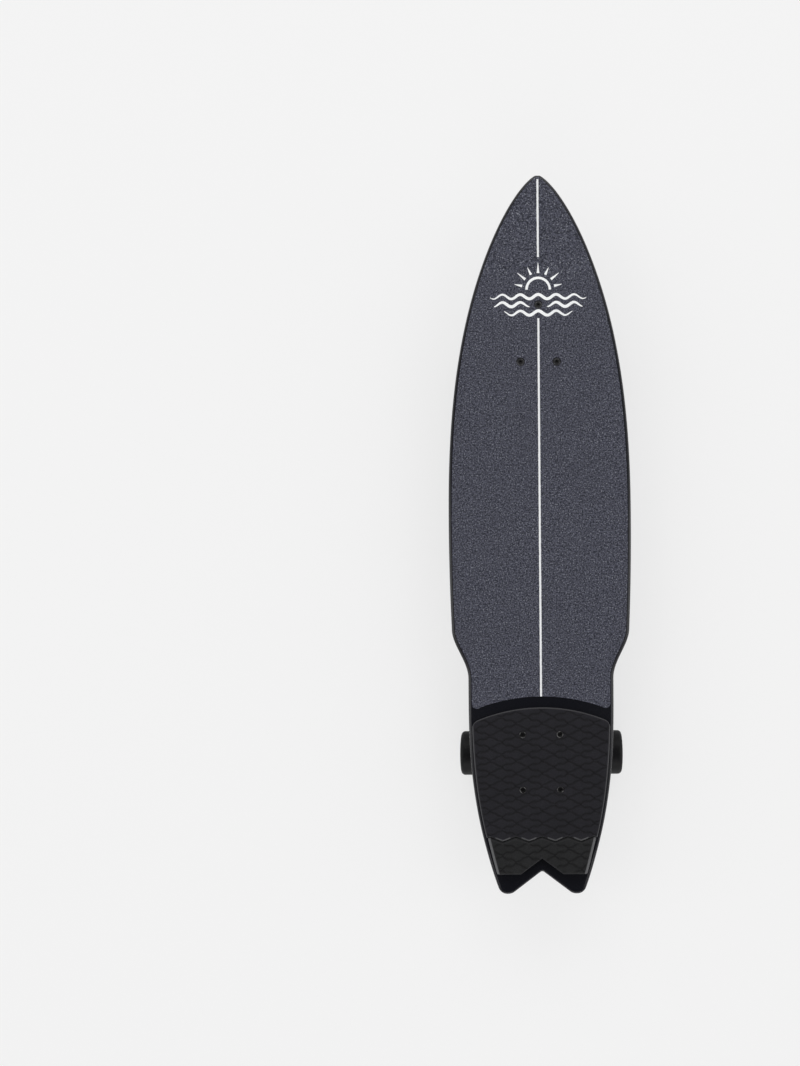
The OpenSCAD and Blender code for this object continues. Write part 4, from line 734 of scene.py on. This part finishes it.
def foam_sheet(name, half, front, rear, top, slope_wid, bevel, rim_highlights, nx, ny, mat):
    """A closed foam piece over (u, v): u across from edge to edge, v from its front to its rear."""
    side_highlight, end_highlight, tooth_highlight = rim_highlights
    top_pts, low_pts, groove_shade, rim = [], [], [], []
    for j in range(ny + 1):
        for i in range(nx + 1):
            u, v = 2 * i / nx - 1, j / ny
            x = u * FIRST_HALF
            for _ in range(4):
                y = front(x) * (1 - v) + rear(x) * v
                x = u * half(y)
            d_side = (1 - abs(u)) * half(y)
            d_end = min(v, 1 - v) * (front(x) - rear(x))
            fade = smooth(min(d_side - slope_wid * 0.6, d_end) / PATTERN_FADE)
            h = top(x, y) - BUMP_H + bump_height(x, y) * fade + BUMP_H * 0.25 * (1 - fade)
            # Painted shade of the grooves, faded like the pattern near the edges.
            g = groove_shade_at(x, y) * fade
            # Painted highlight: the side slopes, the end bevels and the zigzag's tail-facing points are
            # lightened in the colour.
            lit = side_highlight * smooth((slope_wid - d_side) / (0.3 * slope_wid))
            if d_side < slope_wid:
                h -= (slope_wid - d_side) * SLOPE_DROP
            if d_end < bevel:
                k = 1 - d_end / bevel
                h -= bevel * (1 - math.sqrt(max(0.0, 1 - k * k)))
                lit = max(lit, end_highlight)
            if v > 0.5:
                lit = max(lit, tooth_highlight * shine(x) * (1 - smooth((d_end - SHINE_DEEP) / SHINE_FADE)))
            h = max(LEAST_FOAM, h)
            # The bolt holes' walls carry a painted highlight too.
            if in_hole(x, y, HOLE_R):
                x, y = to_hole(x, y, HOLE_R)
                h, g, lit = HOLE_FLOOR, 0.0, HOLE_HIGHLIGHT
            base = DECK_TOP + rise(y)
            top_pts.append((x, y, base + h))
            low_pts.append((x, y, base + SEAT_LIFT))
            groove_shade.append(g)
            rim.append(lit)
    mesh = mesh_of(name, top_pts + low_pts, closed_sheet(top_pts, nx, ny))
    for label, values in (("groove_shade", groove_shade + groove_shade), ("rim", rim + [0.0] * len(rim))):
        mesh.attributes.new(label, "FLOAT", "POINT").data.foreach_set("value", values)
    for p in mesh.polygons:
        p.use_smooth = True
    mesh.update()
    return new_object(name, mesh, mat)


def kick_rear(x):
    """The kick piece's rear edge with its notch."""
    return KICK_PAD_END + PAD_NOTCH_DEPTH * max(0.0, 1 - abs(x) / PAD_NOTCH_HALF)


def kick_height(x, y):
    low_y = KICK_PAD_Y + TOOTH
    t = clamp((low_y - y) / (low_y - KICK_PAD_END))
    return KICK_LOW + (KICK_HIGH - KICK_LOW) * t ** WEDGE_CURVE


def pad_height(x, y):
    return PAD_THK + PATTERN_LIFT


cells = 180
# The three numbers per piece are painted highlight on its side slopes, end bevels and zigzag points.
pad = foam_sheet("pad_front_foam", lambda y: inset_half(y, EDGE_INSET),
                 pad_front, lambda x: zigzag(x) + PIECE_GAP, pad_height,
                 PAD_SLOPE, PAD_BEVEL, (0.40, 0.35, 0.80), cells, cells, FOAM)
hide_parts("traction_pad")
kick = foam_sheet("pad_kick_foam", lambda y: inset_half(y, KICK_INSET),
                  lambda x: zigzag(x) - PIECE_GAP, kick_rear, kick_height,
                  KICK_SLOPE, KICK_BEVEL, (0.80, 0.05, 0.0), cells, cells // 3, KICK_FOAM)
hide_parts("kick_pad")
for obj in (pad, kick):
    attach(obj, "board")


# Castings


def smooth_copy(name, voxel, passes, mat):
    """A node's own shape with softened edges."""
    obj = bpy.data.objects.new(name + "_soft", NODES[name].data.copy())
    scene.collection.objects.link(obj)
    remesh = obj.modifiers.new("remesh", "REMESH")
    remesh.mode = "VOXEL"
    remesh.voxel_size = voxel * MM * 1.0
    soften = obj.modifiers.new("smooth", "SMOOTH")
    soften.factor = 0.5
    soften.iterations = passes
    dg = bpy.context.evaluated_depsgraph_get()
    done = bpy.data.meshes.new_from_object(obj.evaluated_get(dg))
    obj.modifiers.clear()
    obj.data = done
    for p in done.polygons:
        p.use_smooth = True
    done.materials.clear()
    done.materials.append(mat)
    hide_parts(name)
    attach(obj, BODY_OF[name])


for name, voxel, passes, mat in (
    ("rear_baseplate", 0.9, 4, CAST), ("rear_hanger", 0.75, 7, BRUSHED), ("front_base", 0.9, 3, CAST),
    ("swivel_arm", 0.8, 4, CAST), ("front_hanger", 0.8, 4, BRUSHED),
):
    smooth_copy(name, voxel, passes, mat)


# Springs

SPRING_SLANT = math.radians(33.6)
SPRING_X, SPRING_BACK, SPRING_Z = 15.5, 29.5, 82.0
SPRING_R, WIRE_R, SPRING_LEN, CURLS = 3.85, 0.65, 27.0, 9
SPRING_LEAD, SPRING_SEAT = 1.3, 0.1
CURL_STEPS, WIRE_SIDES = 24, 10


def tube(pts, axis_at, r, sides):
    """Vertices and faces of a closed round tube along the points, turned away from an axis line."""
    verts, faces = [], []
    for i, p in enumerate(pts):
        t = (pts[min(i + 1, len(pts) - 1)] - pts[max(i - 1, 0)]).normalized()
        u = (p - axis_at(p)).normalized()
        u = (u - t * u.dot(t)).normalized()
        v = t.cross(u)
        for k in range(sides):
            a = 2 * math.pi * k / sides
            verts.append(p + (u * math.cos(a) + v * math.sin(a)) * r)
    for i in range(len(pts) - 1):
        for k in range(sides):
            a, b = i * sides + k, i * sides + (k + 1) % sides
            faces.append((a, b, b + sides, a + sides))
    last = (len(pts) - 1) * sides
    faces.append(tuple(range(sides - 1, -1, -1)))
    faces.append(tuple(range(last, last + sides)))
    return verts, faces


def spring_piece(name, sx):
    """A coil from the swivelling tab, at its inner end, to the tray, at its outer end."""
    start = Vector((sx * -SPRING_X, FRONT_Y - SPRING_BACK, SPRING_Z))
    along = Vector((sx * -math.cos(SPRING_SLANT), math.sin(SPRING_SLANT), 0))
    side = Vector((0, 0, 1))
    other = along.cross(side)
    steps, turns, run = CURLS * CURL_STEPS, CURLS * 2 * math.pi, SPRING_LEN - 2 * SPRING_LEAD
    path = [(0.0, 0.0)]
    path += [(i / steps * turns, SPRING_LEAD + run * i / steps) for i in range(steps + 1)]
    path.append((turns, SPRING_LEN))
    pts = []
    for a, h in path:
        outward = side * math.cos(a) + other * math.sin(a)
        pts.append(start + along * (h + SPRING_SEAT) + outward * SPRING_R)
    verts, faces = tube(pts, lambda p: start + along * (p - start).dot(along), WIRE_R, WIRE_SIDES)
    obj = new_object(name, mesh_of(name, verts, faces), SPRING)
    tidy_normals(obj.data, 60)
    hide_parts("spring_left" if sx > 0 else "spring_right")
    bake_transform(obj)


spring_piece("coil_left", 1)
spring_piece("coil_right", -1)


# Rear bushings

KING_AT, KING_TILT = Vector((0, REAR_Y + 30.5, 65.2)), math.radians(-9)
KING_R = 4.95
BUSH_R, BUSH_TAPER, BUSH_SWELL, BUSH_CHAMFER = 12.5, 1.3, 0.55, 0.6
BUSH_STEPS, BUSH_SIDES = 14, 48


def on_kingpin(x, y, h):
    """The place at height h along the kingpin, x and y beside its axis."""
    c, w = math.cos(KING_TILT), math.sin(KING_TILT)
    return KING_AT + Vector((x, y * c - h * w, y * w + h * c))


def bushing_piece(name, node_name, near, far):
    """A rubber bushing round the kingpin, from its seat in the hanger's ring at near to its washer at far."""
    rings = []
    for i in range(BUSH_STEPS + 1):
        t = i / BUSH_STEPS
        r = BUSH_R - BUSH_TAPER * t + BUSH_SWELL * math.sin(math.pi * t)
        if i in (0, BUSH_STEPS):
            r -= BUSH_CHAMFER
        rings.append((r, near + (far - near) * t))
    rings = [(KING_R, near)] + rings + [(KING_R, far)]
    verts, faces = [], []
    for r, h in rings:
        for k in range(BUSH_SIDES):
            a = 2 * math.pi * k / BUSH_SIDES
            verts.append(on_kingpin(r * math.cos(a), r * math.sin(a), h))
    for i in range(len(rings)):
        for k in range(BUSH_SIDES):
            a, b = i * BUSH_SIDES + k, i * BUSH_SIDES + (k + 1) % BUSH_SIDES
            j = (i + 1) % len(rings) * BUSH_SIDES
            quad = (a, b, j + (k + 1) % BUSH_SIDES, j + k)
            faces.append(quad if far > near else tuple(reversed(quad)))
    obj = new_object(name, mesh_of(name, verts, faces), RUBBER)
    tidy_normals(obj.data, 50)
    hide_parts(node_name)
    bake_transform(obj)


bushing_piece("bushing_deck_soft", "rear_bushing_deck", 2.5, 18.0)
bushing_piece("bushing_road_soft", "rear_bushing_road", -2.5, -16.0)


# Painted motifs

PAINT_DROP, PAINT_LIFT = 0.06, 0.11
BAND_STEPS, BAND_RAGGED, BAND_MARGIN = 260, 0.7, 6
PRESS_WAVE, SWAY_WAVE = 265.0, 470.0
SUN_Y, SUN_R, SUN_STEPS = 316.0, 15.0, 40
RAYS, RAY_R, RAY_LENGTHS, RAY_STEPS = 7, 21.0, (10, 13), 6
WAVE_ROWS = ((-62, 62, 307.0), (-57, -11, 297.0), (11, 57, 297.0), (-44, 44, 286.0))
WAVE_HIGH, WAVE_PITCH, WAVE_STEPS = 2.8, 23, 90


def ribbon(points, widths, z_at, ragged, seed, flip=False):
    """Vertices and faces of a flat brushed band along the points."""
    rng = random.Random(seed)
    verts, faces = [], []
    for i, (x, y) in enumerate(points):
        a = Vector(points[max(i - 1, 0)])
        b = Vector(points[min(i + 1, len(points) - 1)])
        t = (b - a).normalized()
        n = Vector((-t.y, t.x))
        w = widths[i] / 2
        for s in (-1, 1):
            reach = max(0.05, w + ragged * (rng.random() - 0.5))
            q = Vector((x, y)) + n * s * reach
            verts.append((q.x, q.y, z_at(q.x, q.y)))
    for i in range(len(points) - 1):
        quad = (2 * i, 2 * i + 2, 2 * i + 3, 2 * i + 1)
        faces.append(tuple(reversed(quad)) if flip else quad)
    return verts, faces


def joined(parts):
    """The vertices and faces of several parts as one."""
    verts, faces = [], []
    for v, f in parts:
        base = len(verts)
        verts += v
        faces += [tuple(i + base for i in q) for q in f]
    return verts, faces


def under_z(x, y):
    return DECK_Z + rise(y) + well(x, y) - PAINT_DROP


def grip_z(x, y):
    return GRIP_TOP + rise(y) + PAINT_LIFT


def current(phase, offset, swing, y0, y1, width, seed):
    """One long flowing brush band along the underside, following the outline's width."""
    pts, widths = [], []
    for i in range(BAND_STEPS + 1):
        t = i / BAND_STEPS
        y = y0 + (y1 - y0) * t
        press = 0.70 + 0.30 * math.sin(2 * math.pi * y / PRESS_WAVE + phase * 1.7)
        w = width * max(0.02, math.sin(math.pi * t) ** 0.4 * press)
        share = deck_half(y) / (DECK_WID / 2)
        x = (offset + swing * math.sin(2 * math.pi * y / SWAY_WAVE + phase)) * share
        room = deck_half(y) - EDGE_INSET - BAND_MARGIN - w / 2
        pts.append((clamp(x, -room, room), y))
        widths.append(w)
    return ribbon(pts, widths, under_z, BAND_RAGGED, seed, True)


verts, faces = joined([
    current(0.3, -24, 36, 420, -428, 44, 1),
    current(0.3, 22, 36, 404, -420, 26, 2),
    current(0.3, 54, 34, 300, -300, 15, 3),
    current(0.3, -74, 34, 270, -210, 11, 4),
])
mesh_object("underside_bands", verts, faces, PAINT, "board", 80)


def grip_motif():
    """A half sun over three wave lines, clear of the bolt hole that lies on the middle line."""
    def from_sun(r, angle):
        return r * math.cos(angle), SUN_Y + r * math.sin(angle)

    arc = [from_sun(SUN_R, math.pi * i / SUN_STEPS) for i in range(SUN_STEPS + 1)]
    parts = [ribbon(arc, [3.2] * len(arc), grip_z, 0.15, 7)]
    shares = [i / RAY_STEPS for i in range(RAY_STEPS + 1)]
    for k in range(RAYS):
        angle = math.pi * (k + 0.5) / RAYS
        ray = [from_sun(RAY_R + RAY_LENGTHS[k % 2] * t, angle) for t in shares]
        parts.append(ribbon(ray, [3.6 - 3.0 * t for t in shares], grip_z, 0.1, 8 + k))
    shares = [i / WAVE_STEPS for i in range(WAVE_STEPS + 1)]
    for row, (x0, x1, y0) in enumerate(WAVE_ROWS):
        xs = [x0 + (x1 - x0) * t for t in shares]
        wave = [(x, y0 + WAVE_HIGH * math.cos(2 * math.pi * x / WAVE_PITCH)) for x in xs]
        widths = [0.3 + 3.6 * math.sin(math.pi * t) ** 0.5 for t in shares]
        parts.append(ribbon(wave, widths, grip_z, 0.15, 20 + row))
    return joined(parts)


verts, faces = grip_motif()
mesh_object("grip_motif", verts, faces, PAINT, "board", 80)


# Stage, lights and camera

FLOOR = 0.896
SHADOW_SHARE, SHADOW_NEAR, SHADOW_FAR = 0.28, 0.9, 2.6
AMBIENT = 0.55


def floor_material():
    """Plain pale floor: it shows the board's shadow softly, and looks clear from below."""
    m = bpy.data.materials.new("floor_pale")
    m.use_nodes = True
    nt = m.node_tree
    nt.nodes.clear()
    out = node(nt, "ShaderNodeOutputMaterial")
    diffuse = node(nt, "ShaderNodeBsdfDiffuse", {"Color": (FLOOR, FLOOR, FLOOR, 1)})
    even = node(nt, "ShaderNodeEmission", {"Color": (FLOOR, FLOOR, FLOOR, 1), "Strength": 1.0})
    clear = node(nt, "ShaderNodeBsdfTransparent")
    geo = node(nt, "ShaderNodeNewGeometry")
    path = node(nt, "ShaderNodeLightPath")
    far = node(nt, "ShaderNodeVectorMath", {0: object_place(nt)}, operation="LENGTH").outputs["Value"]
    even_share = ramp(nt, far, SHADOW_NEAR, SHADOW_FAR, 1 - SHADOW_SHARE, 1.0, "SMOOTHSTEP")
    seen = math_node(nt, "MULTIPLY", path.outputs["Is Camera Ray"], even_share)
    top = node(nt, "ShaderNodeMixShader", {0: seen, 1: diffuse.outputs[0], 2: even.outputs[0]})
    unseen = math_node(nt, "MULTIPLY", geo.outputs["Backfacing"], path.outputs["Is Camera Ray"])
    mix = node(nt, "ShaderNodeMixShader", {0: unseen, 1: top.outputs[0], 2: clear.outputs[0]})
    nt.links.new(mix.outputs[0], out.inputs[0])
    return m


def studio_world():
    """Pale to the camera, plain light on the board, and soft grey in glossy reflections."""
    world = bpy.data.worlds.new("studio")
    world.use_nodes = True
    nt = world.node_tree
    nt.nodes.clear()
    out = node(nt, "ShaderNodeOutputWorld")
    path = node(nt, "ShaderNodeLightPath")
    up = parts_of(nt, node(nt, "ShaderNodeTexCoord").outputs["Generated"])[2]
    gloss_level = ramp(nt, up, 0.45, 0.85, 0.80, 0.05)
    ambient = node(nt, "ShaderNodeBackground", {0: (1, 1, 1, 1), 1: AMBIENT})
    seen = node(nt, "ShaderNodeBackground", {0: (FLOOR, FLOOR, FLOOR, 1), 1: 1.0})
    gloss = node(nt, "ShaderNodeBackground", {0: (1, 1, 1, 1), 1: gloss_level})
    mix = ambient
    for ray, shader in (("Is Glossy Ray", gloss), ("Is Camera Ray", seen)):
        mix = node(nt, "ShaderNodeMixShader", {0: path.outputs[ray], 1: mix.outputs[0], 2: shader.outputs[0]})
    nt.links.new(mix.outputs[0], out.inputs[0])
    return world


bpy.ops.mesh.primitive_plane_add(size=60, location=(0, 0, 0))
floor = bpy.context.object
floor.name = "floor"
floor.data.materials.append(floor_material())
scene.world = studio_world()


def area(name, loc, target, size, energy):
    light = bpy.data.lights.new(name, "AREA")
    light.shape = "RECTANGLE"
    light.size, light.size_y = size
    light.energy = energy
    obj = bpy.data.objects.new(name, light)
    scene.collection.objects.link(obj)
    obj.location = loc
    obj.rotation_euler = (Vector(target) - Vector(loc)).to_track_quat("-Z", "Y").to_euler()


area("soft_nose", (0.0, 2.6, 2.4), (0, 0.1, 0), (3.0, 1.6), 33)
area("soft_left", (-2.4, 0.0, 2.0), (0, 0, 0), (1.4, 3.0), 19)
area("soft_right", (2.4, 0.0, 2.0), (0, 0, 0), (1.4, 3.0), 19)
area("soft_tail", (0.0, -2.8, 1.8), (0, -0.2, 0), (2.6, 1.2), 17)

# The camera looks straight down, and the lens shift puts the board where the photograph has it
EYE_Y, EYE_HEIGHT, EYE_TURN = -0.1785, 1.086, math.radians(-0.41)
FRAME_H = 1066
SHIFT_X, SHIFT_Y = -140.9, 142.0
cam_data = bpy.data.cameras.new("camera")
cam_data.sensor_fit = "VERTICAL"
cam_data.sensor_height = 24
cam_data.sensor_width = 18
cam_data.lens = 19.04
cam_data.shift_x = SHIFT_X / FRAME_H
cam_data.shift_y = SHIFT_Y / FRAME_H
cam = bpy.data.objects.new("camera", cam_data)
scene.collection.objects.link(cam)
cam.location = (0, EYE_Y, DECK_TOP * MM + EYE_HEIGHT)
cam.rotation_euler = (0, 0, EYE_TURN)
scene.camera = cam
